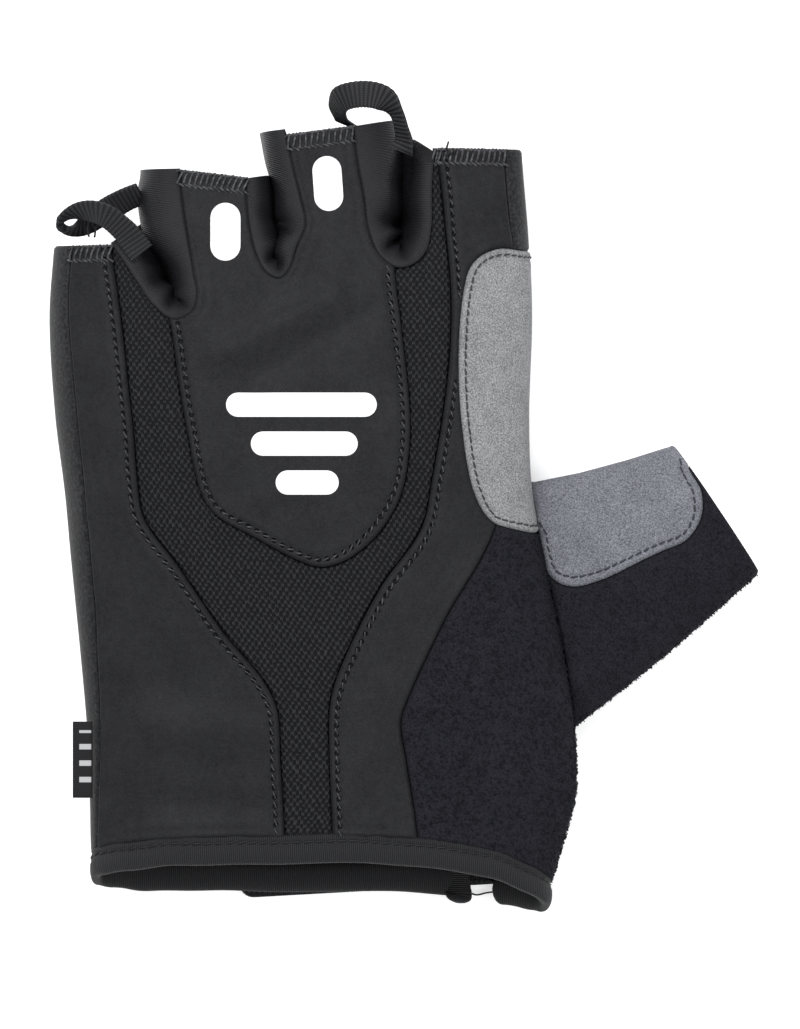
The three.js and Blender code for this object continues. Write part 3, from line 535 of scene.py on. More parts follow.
def cut(outline, spacing, seams=(), pitch=1.9):
    """Triangles on the flat map inside an outline; returns points, triangles and the rim's length."""
    rim = closed_evenly(outline, spacing)
    ring = np.vstack([rim, rim[:1]])
    low, high = rim.min(0), rim.max(0)
    rows = np.arange(low[1], high[1], spacing * 0.866)
    grid = []
    for k, row in enumerate(rows):
        across = np.arange(low[0] + (k % 2) * spacing / 2, high[0], spacing)
        grid.append(np.stack([across, np.full(len(across), row)], 1))
    grid = np.vstack(grid)
    near, _ = near_line(ring, grid)
    grid = grid[inside(rim, grid[:, 0], grid[:, 1]) & (near > ROLL + spacing * 0.4)]
    rolled = []
    for inset in (0.22, 0.5, ROLL):
        for sign in (1, -1):
            row = closed_evenly(moved(ring, sign * inset), spacing)
            away, _ = near_line(ring, row)
            rolled.append(row[inside(rim, row[:, 0], row[:, 1]) & (away > inset * 0.9)])
    stitched = []
    for seam in seams:
        for offset in (-0.45, 0, 0.45):
            row = evenly(moved(seam, offset), pitch / 4)
            away, _ = near_line(ring, row)
            stitched.append(row[inside(rim, row[:, 0], row[:, 1]) & (away > ROLL)])
        near, _ = near_line(seam, grid)
        grid = grid[near > 0.45 + spacing * 0.4]
    points = np.vstack([rim, grid, *rolled, *stitched])
    edges = [(i, (i + 1) % len(rim)) for i in range(len(rim))]
    flat, _, triangles, *_ = delaunay_2d_cdt([tuple(p) for p in points], edges, [], 0, 1e-4, False)
    flat, triangles = np.array([tuple(p) for p in flat]), np.array([tuple(t) for t in triangles])
    middle = flat[triangles].mean(1)
    triangles = triangles[inside(rim, middle[:, 0], middle[:, 1])]
    a, b, c = (flat[triangles[:, k]] for k in range(3))
    area = (b[:, 0] - a[:, 0]) * (c[:, 1] - a[:, 1]) - (b[:, 1] - a[:, 1]) * (c[:, 0] - a[:, 0])
    triangles[area < 0] = triangles[area < 0][:, ::-1]
    triangles = triangles[np.abs(area) > 1e-7]
    used, triangles = np.unique(triangles, return_inverse=True)
    return flat[used], triangles.reshape(-1, 3), ring


def two_sided(triangles, count):
    """Faces of a sheet: its outer side, its inner side and the strip that bridges them at the edge."""
    faces = [tuple(t) for t in triangles] + [(t[2] + count, t[1] + count, t[0] + count) for t in triangles]
    sides = np.vstack([triangles[:, [0, 1]], triangles[:, [1, 2]], triangles[:, [2, 0]]])
    key = {tuple(s) for s in sides.tolist()}
    return faces + [(b, a, a + count, b + count) for a, b in key if (b, a) not in key]


def make(name, points, faces, uv, attributes=None):
    """A mesh object from millimetres, with its flat map and point attributes."""
    mesh = bpy.data.meshes.new(name)
    mesh.from_pydata((np.asarray(points) * MM).tolist(), [], [tuple(int(i) for i in f) for f in faces])
    layer = mesh.uv_layers.new(name="cloth")
    corners = np.empty(len(mesh.loops), dtype=np.int32)
    mesh.loops.foreach_get("vertex_index", corners)
    layer.data.foreach_set("uv", (np.asarray(uv)[corners] * MM).astype(np.float32).ravel())
    for label, values in (attributes or {}).items():
        store = mesh.attributes.new(label, "FLOAT", "POINT")
        store.data.foreach_set("value", np.asarray(values, dtype=np.float32))
    mesh.polygons.foreach_set("use_smooth", [True] * len(mesh.polygons))
    mesh.validate()
    mesh.update()
    piece = bpy.data.objects.new(name, mesh)
    bpy.context.scene.collection.objects.link(piece)
    return piece


def panel(
    name, ground, outline, spacing=0.6, wall=WALL, lift=0.0,
    seams=(), pitch=1.9, swell=0.0, depth=0.16, turned=0.5,
):
    """A sewn panel on a ground; seams are stitch lines on the flat map."""
    flat, triangles, ring = cut(outline, spacing, seams, pitch)
    edge, _ = near_line(ring, flat)
    rolled = np.clip(1 - edge / ROLL, 0, 1) ** 2
    height = lift + ground.relief(flat[:, 0], flat[:, 1]) - turned * rolled
    height += swell * (np.exp(-(((edge - 0.9) / 0.6) ** 2)) + 0.6 * np.exp(-(((edge - 3.0) / 0.9) ** 2)))
    seam_away, seam_along = np.full(len(flat), 9.0), np.zeros(len(flat))
    for seam in seams:
        away, along = near_line(seam, flat)
        nearer = away < seam_away
        seam_away = np.where(nearer, away, seam_away)
        seam_along = np.where(nearer, along / pitch, seam_along)
        pull = 0.6 + 0.4 * np.cos(2 * math.pi * along / pitch)
        height -= depth * np.exp(-((away / 0.5) ** 2)) * (0.5 + 1.3 * pull)
    place, normal = ground.point(flat[:, 0], flat[:, 1]), ground.normal(flat[:, 0], flat[:, 1])
    outer = place + normal * height[:, None]
    inner = place + normal * (lift - wall + turned / 2 * rolled)[:, None]
    count = len(flat)
    both = np.vstack([flat, flat])
    marks = {"edge": np.concatenate([edge, edge]), "inner": np.repeat([0.0, 1.0], count)}
    marks["seam_away"] = np.concatenate([seam_away, seam_away + 9])
    marks["seam_along"] = np.concatenate([seam_along, seam_along])
    return make(name, np.vstack([outer, inner]), two_sided(triangles, count), both, marks)


def on_ground(ground, line, height):
    """A line of the flat map placed on the glove with its normals, for stitching to follow."""
    line = np.asarray(line, float)
    normal = ground.normal(line[:, 0], line[:, 1])
    raised = np.asarray(height) + ground.relief(line[:, 0], line[:, 1])
    return ground.point(line[:, 0], line[:, 1]) + normal * raised[:, None], normal


print("panel cutter ready; spacing 0.6 mm, wall", WALL, "mm")

# %% [markdown]
# ## Seam lines on the map
# Every line is read once from its table, smoothed, and carried to the flat map. The two hidden limits
# are found by search: the height where the side panels hand over to the palm, and the hole where the
# thumb stall leaves the hand.

# %% The thumb stall's skin
THUMB_ROWS = np.array(THUMB, float)
THUMB_LENGTH = 55.0


def thumb_row(share):
    """The finger side, the wrist side and the height of the thumb at a share of its length."""
    place = np.clip(share, 0, 1) * (len(THUMB_ROWS) - 1)
    i = np.minimum(np.floor(place).astype(int), len(THUMB_ROWS) - 2)
    part = (place - i)[..., None]
    row = THUMB_ROWS[i] * (1 - part) + THUMB_ROWS[i + 1] * part
    return row[..., 0:2], row[..., 2:4], row[..., 4]


def thumb_skin(share, turn, grow=0.0):
    """Point on the thumb stall, by the share of its length and the turn round its section."""
    share, turn = np.broadcast_arrays(np.asarray(share, float), np.asarray(turn, float))
    finger, wrist, top = thumb_row(share)
    middle, half = (finger + wrist) / 2, (finger - wrist) / 2
    length = np.linalg.norm(half, axis=-1)
    back = np.sin(turn) >= 0
    power = np.where(back, BACK_POWER, PALM_POWER)
    across = signed_power(np.cos(turn), 2 / power)
    rise = np.abs(np.sin(turn)) ** (2 / power)
    plan = middle + half * (across * (length + grow) / length)[..., None]
    side = top * 0.45
    over = side + (top + grow - side) * rise
    under = side - (side + grow) * np.minimum(1, PALM_FLATTENING * rise)
    return np.concatenate([plan, np.where(back, over, under)[..., None]], -1)


def thumb_share(x, y):
    """The share of the thumb's length whose section passes through a plan point, and the place across."""
    low, high = np.zeros(np.shape(x)), np.ones(np.shape(x))
    plan = np.stack([x, y], -1)
    for _ in range(30):
        share = (low + high) / 2
        finger, wrist, _ = thumb_row(share)
        step, gap = wrist - finger, plan - finger
        beyond = step[..., 0] * gap[..., 1] - step[..., 1] * gap[..., 0] > 0
        low, high = np.where(beyond, share, low), np.where(beyond, high, share)
    finger, wrist, _ = thumb_row(share)
    half = (finger - wrist) / 2
    across = ((plan - (finger + wrist) / 2) * half).sum(-1) / (half**2).sum(-1)
    return share, across


def in_hollow(point):
    """Whether a point lies in the empty space inside the thumb stall."""
    share, across = thumb_share(point[..., 0], point[..., 1])
    _, _, top = thumb_row(share)
    side = top * 0.45
    reach_across = np.clip(np.abs(across), 0, 1)
    over = side + (top - WALL - side) * (1 - reach_across**BACK_POWER) ** (1 / BACK_POWER)
    return (np.abs(across) < 0.97) & (share > 0.001) & (point[..., 2] > WALL) & (point[..., 2] < over)


FOLD_TURN = -0.35  # the tube's long seam lies low on the finger side
mouth_turns = np.linspace(FOLD_TURN, FOLD_TURN + 2 * math.pi, 1200)
THUMB_ARC = run_length(thumb_skin(0.7, mouth_turns))


class Thumb:
    """The thumb stall's skin as a ground; p runs to the mouth and q round from the long seam."""

    @staticmethod
    def turn(q):
        return np.interp(q, THUMB_ARC, mouth_turns)

    @staticmethod
    def point(p, q):
        return thumb_skin(np.asarray(p) / THUMB_LENGTH, Thumb.turn(q))

    @staticmethod
    def normal(p, q):
        share, turn = np.asarray(p) / THUMB_LENGTH, Thumb.turn(q)
        share = np.clip(share, 0.011, 0.989)
        turn = np.clip(turn, mouth_turns[0] + 0.012, mouth_turns[-1] - 0.012)
        round_it = thumb_skin(share, turn + 0.01) - thumb_skin(share, turn - 0.01)
        along_it = thumb_skin(share + 0.01, turn) - thumb_skin(share - 0.01, turn)
        return unit(np.cross(round_it, along_it))

    @staticmethod
    def relief(p, q):
        place = Thumb.point(p, q)
        x, y = place[..., 0], place[..., 1]
        wave = 0.35 * np.sin(x * 0.31 + y * 0.17 + 0.6) + 0.22 * np.sin(y * 0.43 - x * 0.12)
        return wave * np.clip(np.sin(Thumb.turn(q)) * 2, 0, 1)


def thumb_map(turn):
    return np.interp(turn, mouth_turns, THUMB_ARC)


print("thumb stall:", round(THUMB_ARC[-1], 1), "mm round")

# %% Lines shared by the panels
def steady(line, spacing=0.8):
    """A plan line smoothed in its first two columns."""
    return catmull(line, spacing, 2)


side_line = on_back(steady(SIDE_SEAM))
outer_mesh = on_back(steady(OUTER_MESH_SEAM))
inner_mesh = on_back(steady(INNER_MESH_SEAM))
thumb_seam = on_back(steady(THUMB_SIDE_SEAM))
tongue = on_back(steady(TONGUE))
crotch_plan = {name: catmull(rows, 0.5, 2) for name, rows in CROTCHES.items()}


def past_tips(line):
    """A crotch line carried on past the finger tips, so that it crosses their edges."""
    beyond = np.array([0.0, 5.0])
    return np.vstack([line[0, :2] + beyond, line[:, :2], line[-1, :2] + beyond])


crotch_back = {name: on_back(past_tips(line)) for name, line in crotch_plan.items()}
crotch_palm = {name: on_palm(past_tips(line)) for name, line in crotch_plan.items()}

INTO_TAPE = 1.2  # how far the panels' raw edges run into the folded wrist tape
rim_turns = np.linspace(-1.4, 2 * math.pi + 1.4, 1500)
rim_line = np.stack([unroll(rim_turns), rim_station(rim_turns) - INTO_TAPE], 1)[::-1]


def tip_line(points, back=True):
    """A finger's top edge on the map, a little past both of its ends."""
    line = evenly(np.asarray(points, float), 0.8)
    return on_back(line) if back else on_palm(line)


TOPS = {
    # drawn from the thumb side to the little finger's side
    "index": [(47, 85), (20, 85.4)],
    "middle": [(16, 89.8), (11, 89.8), (-3, 88), (-8, 87.5)],
    "ring": [(-6, 78.5), (-25, 80.8), (-30, 81.2)],
    "little": [(-34, 65.3), (-50.5, 65)],
}
tops_back = {name: tip_line(line) for name, line in TOPS.items()}
tops_palm = {name: tip_line(line, back=False) for name, line in TOPS.items()}


def thumb_limit(station, start, stop, height):
    """The first turn from start to stop that is in the thumb's hollow or past a height."""
    turn = np.linspace(start, stop, 500)
    place = skin(turn, station)
    past = place[:, 2] < height if start > stop else place[:, 2] > height
    hit = np.nonzero(past | in_hollow(place))[0]
    return turn[hit[0]] if len(hit) else stop


stations = np.arange(-72, 90, 0.5)
upper_limit = np.array([thumb_limit(y, 0.6, -1.4, SIDE_SPLIT) for y in stations])
lower_limit = np.array([thumb_limit(y, -1.4, 0.6, SIDE_SPLIT - SEAM_GAP) for y in stations])
upper_edge = np.stack([unroll(upper_limit), stations], 1)
lower_edge = np.stack([unroll(lower_limit + 2 * math.pi), stations], 1)
print("thumb hole widest from turn", lower_limit.min().round(2), "to", upper_limit.max().round(2))

# %% Outlines of the hand's panels
HALF_GAP = 0.06
patch_plan = steady(HAND_PATCH, 0.6)
patch_plan = patch_plan[patch_plan[:, 0] < 43.5]
patch_core = on_back(patch_plan)


def round_side(line, station_start, station_end):
    """The suede patch's edge carried round the side of the hand at both of its ends."""
    turns = np.linspace(-1.2, 0.35, 40)
    first = np.stack([unroll(turns), np.full(40, station_start)], 1)
    last = np.stack([unroll(turns[::-1]), np.full(40, station_end)], 1)
    return catmull(np.vstack([first[:-2], line[3:-3:4], last[2:]]), 0.6, 2)


patch_line = round_side(patch_core, patch_core[0, 1] - 0.3, patch_core[-1, 1] - 0.6)
SLIT_CUT = [(7.2, -80), (7.2, -50), (7.2, -43), (5, -37.8), (0, -35.8)]  # half width at each station
slit_sides = [(SLIT["x"] - half, y) for half, y in SLIT_CUT]
slit_sides += [(SLIT["x"] + half, y) for half, y in SLIT_CUT[-2::-1]]
slit_line = on_palm(steady(slit_sides))
full_turn = float(unroll(2 * math.pi)) - float(unroll(0.0))  # once round the tube on the map


def behind(line):
    """The same line reached the other way round the tube, under the palm."""
    return line + np.array([full_turn, 0.0])


index_wrap = np.array([(unroll(turn + 2 * math.pi), 85.1) for turn in np.linspace(0.9, -1.2, 80)])
little_wrap = np.array([(unroll(turn), 65.1) for turn in np.linspace(4.5, 2.4, 80)])
patch_top = behind(patch_line[: len(patch_line) // 2])

outlines = {
    "outer_back_panel": pattern(
        moved(side_line, HALF_GAP), rim_line, moved(outer_mesh, -HALF_GAP)[::-1], tops_back["little"]
    ),
    "mesh_panel": pattern(
        moved(outer_mesh, HALF_GAP),
        rim_line,
        moved(inner_mesh, -HALF_GAP)[::-1],
        tops_back["index"],
        crotch_back["middle_index"][::-1],
        moved(tongue, -HALF_GAP)[::-1],
        crotch_back["little_ring"][::-1],
        tops_back["little"],
    ),
    "knuckle_panel": pattern(
        moved(tongue, HALF_GAP),
        crotch_back["middle_index"][::-1],
        tops_back["middle"],
        crotch_back["ring_middle"][::-1],
        tops_back["ring"],
        crotch_back["little_ring"][::-1],
    ),
    "inner_back_panel": pattern(
        moved(inner_mesh, HALF_GAP),
        rim_line,
        moved(thumb_seam, -HALF_GAP)[::-1],
        moved(patch_line, -HALF_GAP)[::-1],
        moved(thumb_seam, -HALF_GAP)[::-1],
        tops_back["index"],
    ),
    "hand_suede_patch": pattern(patch_line, upper_edge, start=len(patch_line) / 2),
    "thenar_panel": pattern(
        moved(thumb_seam, HALF_GAP), rim_line, upper_edge, moved(patch_line, -HALF_GAP)[::-1]
    ),
    "palm_panel": pattern(
        moved(side_line, -HALF_GAP)[::-1],
        little_wrap[::-1],
        crotch_palm["little_ring"],
        tops_palm["ring"][::-1],
        crotch_palm["ring_middle"],
        tops_palm["middle"][::-1],
        crotch_palm["middle_index"],
        index_wrap[::-1],
        behind(thumb_seam),
        patch_top[::-1],
        lower_edge[::-1],
        rim_line,
        slit_line[::-1],
        rim_line,
    ),
}
for name, outline in outlines.items():
    print(name, outline.min(0).round(1), outline.max(0).round(1), len(outline))

# %% [markdown]
# ## Sew the hand's panels
# The smooth stretch panels are cut so that they lie a little over the mesh, with a rolled edge and a
# line of topstitching just inside it. The mesh is thinner and lies lower. The palm is one plain piece
# that folds up on both sides of the hand, as the leather of such a glove does.

# %% Stitch lines and panels of the hand
def stretches(line, outline, clear=1.0):
    """The stretches of a line that stay inside an outline and clear of its edge."""
    line = evenly(line, 0.25)
    ring = np.vstack([outline, outline[:1]])
    away, _ = near_line(ring, line)
    good = inside(outline, line[:, 0], line[:, 1]) & (away > clear)
    runs, start = [], None
    for i, ok in enumerate(np.append(good, False)):
        if ok and start is None:
            start = i
        elif not ok and start is not None:
            runs.append(line[start:i])
            start = None
    return [run for run in runs if len(run) > 3]


def trimmed(line, outline, clear=1.0):
    """The longest stretch of a line that stays inside an outline."""
    return max(stretches(line, outline, clear), key=len)


INSET = 1.6  # from the turned edge to the topstitching
PATCH_INSET = 1.3  # from the suede's edge to its stitching
TOP_PITCH = 1.9
SUEDE_PITCH = 1.75
seams = {
    "outer_back_panel": [trimmed(moved(outer_mesh, -INSET), outlines["outer_back_panel"])],
    "inner_back_panel": stretches(moved(inner_mesh, INSET), outlines["inner_back_panel"], 0.7),
    "knuckle_panel": [trimmed(moved(tongue, INSET), outlines["knuckle_panel"])],
    "hand_suede_patch": [trimmed(moved(patch_line, PATCH_INSET), outlines["hand_suede_patch"], 0.5)],
}
CUTS = {
    # lift over the solid's skin, wall, swell of the rolled edge, spacing, stitch pitch, pit depth
    "palm_panel": (0.0, 1.5, 0.0, 0.9, TOP_PITCH, 0),
    "outer_back_panel": (0.1, 1.5, 0.3, 0.6, TOP_PITCH, 0.2),
    "mesh_panel": (-0.45, 1.0, 0.0, 0.6, TOP_PITCH, 0),
    "knuckle_panel": (0.1, 1.5, 0.3, 0.6, TOP_PITCH, 0.2),
    "inner_back_panel": (0.1, 1.5, 0.3, 0.6, TOP_PITCH, 0.2),
    "thenar_panel": (-0.1, 1.5, 0.1, 0.6, TOP_PITCH, 0),
    "hand_suede_patch": (0.1, 1.5, 0.15, 0.6, SUEDE_PITCH, 0.1),
}
pieces = {}
for name, (lift, wall, swell, spacing, pitch, depth) in CUTS.items():
    pieces[name] = panel(
        "cloth_" + name, Hand, outlines[name], spacing, wall, lift, seams.get(name, ()), pitch, swell, depth
    )
    print(name, len(pieces[name].data.polygons), "faces")

# %% [markdown]
# ## The thumb stall
# It is a short tube of brushed terry with a suede lobe let into its top. Its root is found by walking
# each line of the tube outwards until it clears the hand, so that the two skins meet in a seam.

# %% Cut the thumb stall and its suede lobe
def over_hand(place):
    """Whether a point is inside the hand's skin."""
    x, y, z = place[..., 0], place[..., 1], place[..., 2]
    left, right = hand_column(LEFT, y), hand_column(RIGHT, y)
    share = (x - left) / (right - left)
    side = hand_column(LEFT_SIDE, y) * (1 - share) + hand_column(RIGHT_SIDE, y) * share
    across = np.clip(np.abs(2 * share - 1), 0, 1)
    crown = side + (hand_column(TOP, y) - dent(x, y) - side) * (1 - across**BACK_POWER) ** (1 / BACK_POWER)
    rise = np.minimum(1, PALM_FLATTENING * (1 - across**PALM_POWER) ** (1 / PALM_POWER))
    keel = side - (side - np.maximum(hand_column(BOTTOM, y), 0)) * rise
    return (across < 1) & (z < crown) & (z > keel)


root_turns = np.linspace(mouth_turns[0], mouth_turns[-1], 400)
shares = np.linspace(0, 1, 500)
tube = thumb_skin(shares[None, :], root_turns[:, None])
covered = over_hand(tube)
last_covered = np.array([np.nonzero(row)[0].max() if row.any() else 0 for row in covered])
root = np.stack([shares[last_covered] * THUMB_LENGTH + 0.15, thumb_map(root_turns)], 1)
kernel = np.ones(7) / 7
root[3:-3, 0] = np.convolve(root[:, 0], kernel, "valid")


def thumb_place(line):
    """A plan line on the top of the thumb stall, on the thumb's map."""
    line = np.asarray(line, float)
    share, across = thumb_share(line[:, 0], line[:, 1])
    across = np.clip(across, -0.9999, 0.9999)
    turn = np.arccos(signed_power(across, BACK_POWER / 2))
    return np.stack([share * THUMB_LENGTH, thumb_map(turn)], 1)


lobe_rows = thumb_place([row for row in THUMB_PATCH if row[1] < 15])
corner = thumb_place([(80.2, 20.3)])
beyond_mouth = corner + [[4.0, -1.5]]
into_hand = lobe_rows[-1:] + [[-6.0, 0.5]]
lobe_line = catmull(np.vstack([beyond_mouth, corner, lobe_rows, into_hand]), 0.6, 2)
around = THUMB_ARC[-1]
seam_low = np.array([[p, HALF_GAP] for p in np.linspace(-2, 60, 60)])
seam_high = np.array([[p, around - HALF_GAP] for p in np.linspace(60, -2, 60)])
mouth_line = np.array([[THUMB_LENGTH - 0.05, q] for q in np.linspace(-3, around + 3, 120)])
root_wide = np.vstack([[root[0, 0], -3], root, [root[-1, 0], around + 3]])
outlines["thumb_suede_patch"] = pattern(lobe_line, root_wide[::-1], seam_low, mouth_line)
outlines["thumb_stall"] = pattern(
    mouth_line, seam_high, root_wide[::-1], moved(lobe_line, -2 * HALF_GAP)[::-1]
)
lobe_row = moved(lobe_line, PATCH_INSET + 0.3)
seams["thumb_suede_patch"] = [trimmed(lobe_row, outlines["thumb_suede_patch"], 0.5)]
pieces["thumb_suede_patch"] = panel(
    "cloth_thumb_suede_patch", Thumb, outlines["thumb_suede_patch"], 0.6, WALL, 0.1,
    seams["thumb_suede_patch"], SUEDE_PITCH, 0.15, 0.1,
)
pieces["thumb_stall"] = panel(
    "cloth_thumb_stall", Thumb, outlines["thumb_stall"], 0.6, WALL, -0.1, swell=0.1
)
for name in ("thumb_suede_patch", "thumb_stall"):
    print(name, len(pieces[name].data.polygons), "faces")

# %% [markdown]
# ## Gussets between the fingers
# Each gusset is one strip of thin, shiny, ribbed knit that joins the back to the palm between two
# fingers. Empty, the strips bulge into the gap, close over each other and fold at the crotch. The strip
# is swept round the crotch line, and pleats are added where it has to turn sharply.

# %% Sweep the gussets
GUSSET_WALL = 1.2
GUSSET_STEP = 0.42  # millimetres between the rows of a gusset's mesh
PLEATS = {
    # at millimetres along the strip, width along it, lean over the height, depth
    "little_ring": [
        (11, 1.8, 4, -0.9), (14.5, 1.6, 5, 0.7), (18, 1.5, 2, -1.1), (21, 1.6, -1, 0.8),
        (25, 1.6, -4, -0.9), (29, 2.2, -5, 0.5), (35, 3.0, -6, -0.5), (43, 3.5, -3, 0.5),
        (5, 2.4, 4, 0.5),
    ],
    "ring_middle": [
        (8, 2.2, 4, -0.5), (15, 1.6, 4, 0.6), (18.5, 1.3, 2, -0.9), (22, 1.5, -1, 0.8),
        (25.5, 1.4, -3, -1.0), (30, 1.8, -6, 0.7), (34, 1.6, -7, -0.8), (40, 2.6, -4, 0.4),
        (46, 3, 0, -0.4),
    ],
    "middle_index": [
        (6, 3, 3, -0.4), (15, 2.6, 6, 0.6), (20, 1.6, 5, -0.8), (24, 1.5, 3, 0.8), (27.5, 1.3, 0, -1.1),
        (31, 1.5, -3, 0.8), (34.5, 1.4, -5, -0.9), (39, 2, -5, 0.5), (46, 3, -3, -0.4),
    ],
}
CLOSING = 0.8  # how far past the middle of the gap each side leans in its lower half
# how far a strip runs on past its table at either end, and how far its mouth slopes there
BEYOND = {"little_ring": (0.0, 0.6), "ring_middle": (0.8, 1.3), "middle_index": (0.3, 2.0)}
TIP_SLOPE = {"little_ring": (0.0, 0.3), "ring_middle": (0.6, 0.4), "middle_index": (0.4, 2.6)}


def gap_ahead(plan, outwards):
    """For each point of a crotch line, how far the other side of the gap is."""
    gap = np.full(len(plan), 99.0)
    a, b = plan[:-1], plan[1:]
    for i, (at, way) in enumerate(zip(plan, outwards)):
        step, away = b - a, a - at
        cross = way[0] * step[:, 1] - way[1] * step[:, 0]
        cross = np.where(np.abs(cross) < 1e-9, 1e-9, cross)
        far = (away[:, 0] * step[:, 1] - away[:, 1] * step[:, 0]) / cross
        share = (away[:, 0] * way[1] - away[:, 1] * way[0]) / cross
        hit = (share >= 0) & (share <= 1) & (far > 0.8)
        if hit.any():
            gap[i] = far[hit].min()
    return gap


def smoothed(values, kernel):
    """A row of values, each the weighted mean of its neighbours."""
    return np.convolve(np.pad(values, len(kernel) // 2, "edge"), kernel, "valid")


def strip_faces(rows, columns):
    """Faces of a sheet of rows and columns of points, with two sides and a bridge all round."""
    half = rows * columns
    faces = []
    for i in range(rows - 1):
        for j in range(columns - 1):
            a, d = i * columns + j, (i + 1) * columns + j
            faces += [(a, a + 1, d + 1, d), (d + half, d + 1 + half, a + 1 + half, a + half)]
    for i in range(rows - 1):
        a, d = i * columns, (i + 1) * columns
        b, c = a + columns - 1, d + columns - 1
        faces += [(a, d, d + half, a + half), (c, b, b + half, c + half)]
    for j in range(columns - 1):
        d = (rows - 1) * columns + j
        faces += [(j + 1, j, j + half, j + 1 + half), (d, d + 1, d + 1 + half, d + half)]
    return faces


def gusset(name, rows, pleats, beyond, slope, columns=56):
    """A strip swept round a crotch line; its sides meet in the middle of a narrow gap."""
    curve = catmull(rows, 0.4, 2)
    line = evenly(np.column_stack([curve[:, [0, 1, 1]], curve[:, 2:]]), GUSSET_STEP)
    for end, step, extra in ((0, line[0] - line[4], beyond[0]), (-1, line[-1] - line[-5], beyond[1])):
        count = int(round(extra / GUSSET_STEP))
        step = np.append(step[:3] / np.linalg.norm(step[:2]) * GUSSET_STEP, np.zeros(3))
        more = [line[end] + step * (k + 1) for k in range(count)]
        if more:
            line = np.vstack([more[::-1], line]) if end == 0 else np.vstack([line, more])
    plan, bulge, pleat = line[:, :2], line[:, 3], np.maximum(line[:, 5], 0)
    length = run_length(plan)
    along = unit(np.gradient(plan, axis=0))
    kernel = np.hanning(19)[1:-1]
    kernel /= kernel.sum()
    along = unit(np.stack([smoothed(along[:, k], kernel) for k in range(2)], 1))
    outwards = np.stack([-along[:, 1], along[:, 0]], 1)
    level = np.ones(9) / 9
    heading = np.unwrap(np.arctan2(along[:, 1], along[:, 0]))
    bend = smoothed(np.gradient(heading, length), level)
    radius = 1 / np.maximum(bend, 1e-3)
    gap = gap_ahead(plan, outwards)
    known = (gap < 30) & (bend < 0.1)
    gap = np.interp(length, length[known], gap[known])
    narrow = np.clip((14 - gap) / 2.5, 0, 1)
    meeting = gap / 2 + 0.1
    bulge = bulge + (np.maximum(meeting, bulge) - bulge) * narrow
    bulge = np.minimum(bulge, gap * 0.62)
    reach_in = np.maximum(np.maximum(line[:, 4], bulge), meeting + CLOSING)
    reach_in = np.minimum(reach_in, gap * 0.85)
    bulge = np.minimum(bulge, radius + 0.9)
    reach_in = np.minimum(reach_in, radius + 2.0)
    reach_in, bulge = smoothed(reach_in, level), smoothed(bulge, level)
    turn = np.linspace(math.pi / 2, -math.pi / 2, columns)
    top = skin(turn_at(plan[:, 0], plan[:, 1]), plan[:, 1])[:, 2] - 0.4 * pleat + 0.1
    lower = np.clip((0.25 - np.sin(turn)) / 0.6, 0, 1)
    lower = lower * lower * (3 - 2 * lower)
    out_share = np.maximum(np.cos(turn), 0) ** (2 / BACK_POWER)
    up_share = signed_power(np.sin(turn), 2 / BACK_POWER)
    full = bulge[:, None] * (1 - lower) + reach_in[:, None] * lower

    def face(inset, relief):
        """The strip's points at a depth under its outer side, with this share of the pleats."""
        out = out_share[None, :] * np.maximum(full - inset, 0.3) - 0.2
        middle = top[:, None] / 2
        height = middle + up_share[None, :] * (middle - inset)
        where = plan[:, None, :] + outwards[:, None, :] * out[..., None]
        grid = np.concatenate([where, height[..., None]], -1)
        round_it, along_it = np.gradient(grid, axis=1), np.gradient(grid, axis=0)
        normal = unit(np.cross(along_it, round_it))
        facing = (normal[..., :2] * outwards[:, None, :]).sum(-1, keepdims=True)
        normal *= np.sign(facing.mean())
        wave = np.zeros(grid.shape[:2])
        for at, width, lean, depth in pleats:
            centre = at + lean * (0.5 - up_share[None, :] * 0.5)
            wave = wave + depth * np.exp(-(((length[:, None] - centre) / width) ** 2))
        wave *= np.clip(1.15 - np.abs(np.sin(turn[None, :])) ** 6, 0.15, 1) * relief
        wave *= np.clip(1.1 - out / radius[:, None], 0, 1)
        grid = grid + normal * wave[..., None]
        late = np.clip(1 - (length[-1] - length) / 5, 0, 1)[:, None] * slope[1]
        early = np.clip(1 - length / 5, 0, 1)[:, None] * slope[0]
        grid[..., 1] -= (late + early) * (1 - np.clip(out / full, 0, 1))
        return grid

    outer, inner = face(0, 1.15), face(GUSSET_WALL, 0.8)
    points = np.vstack([outer.reshape(-1, 3), inner.reshape(-1, 3)])
    faces = strip_faces(len(outer), columns)
    widths = np.linalg.norm(np.diff((outer + inner) / 2, axis=1), axis=2)
    across = np.concatenate([np.zeros((len(outer), 1)), np.cumsum(widths, axis=1)], 1)
    flat = np.stack([np.repeat(length[:, None], columns, 1), across], -1).reshape(-1, 2)
    return make(name, points, faces, np.vstack([flat, flat]))


for key, rows in CROTCHES.items():
    pieces["gusset_" + key] = gusset("cloth_gusset_" + key, rows, PLEATS[key], BEYOND[key], TIP_SLOPE[key])
    print("gusset", key, len(pieces["gusset_" + key].data.polygons), "faces")

# %% [markdown]
# ## Wrist binding
# A ribbed elastic tape is folded over the raw wrist edge and stitched through. Its section is a flat
# bean: thicker at the fold, thinner where the stitching presses it down. The same tape turns into the
# slit on the palm side and ends in a small knot.

# %% Sweep the binding round the wrist
BINDING_WIDTH = 6.2
BINDING_GAP = 0.45
BINDING_THICKNESS = 2.6
SECTION_POINTS = 28


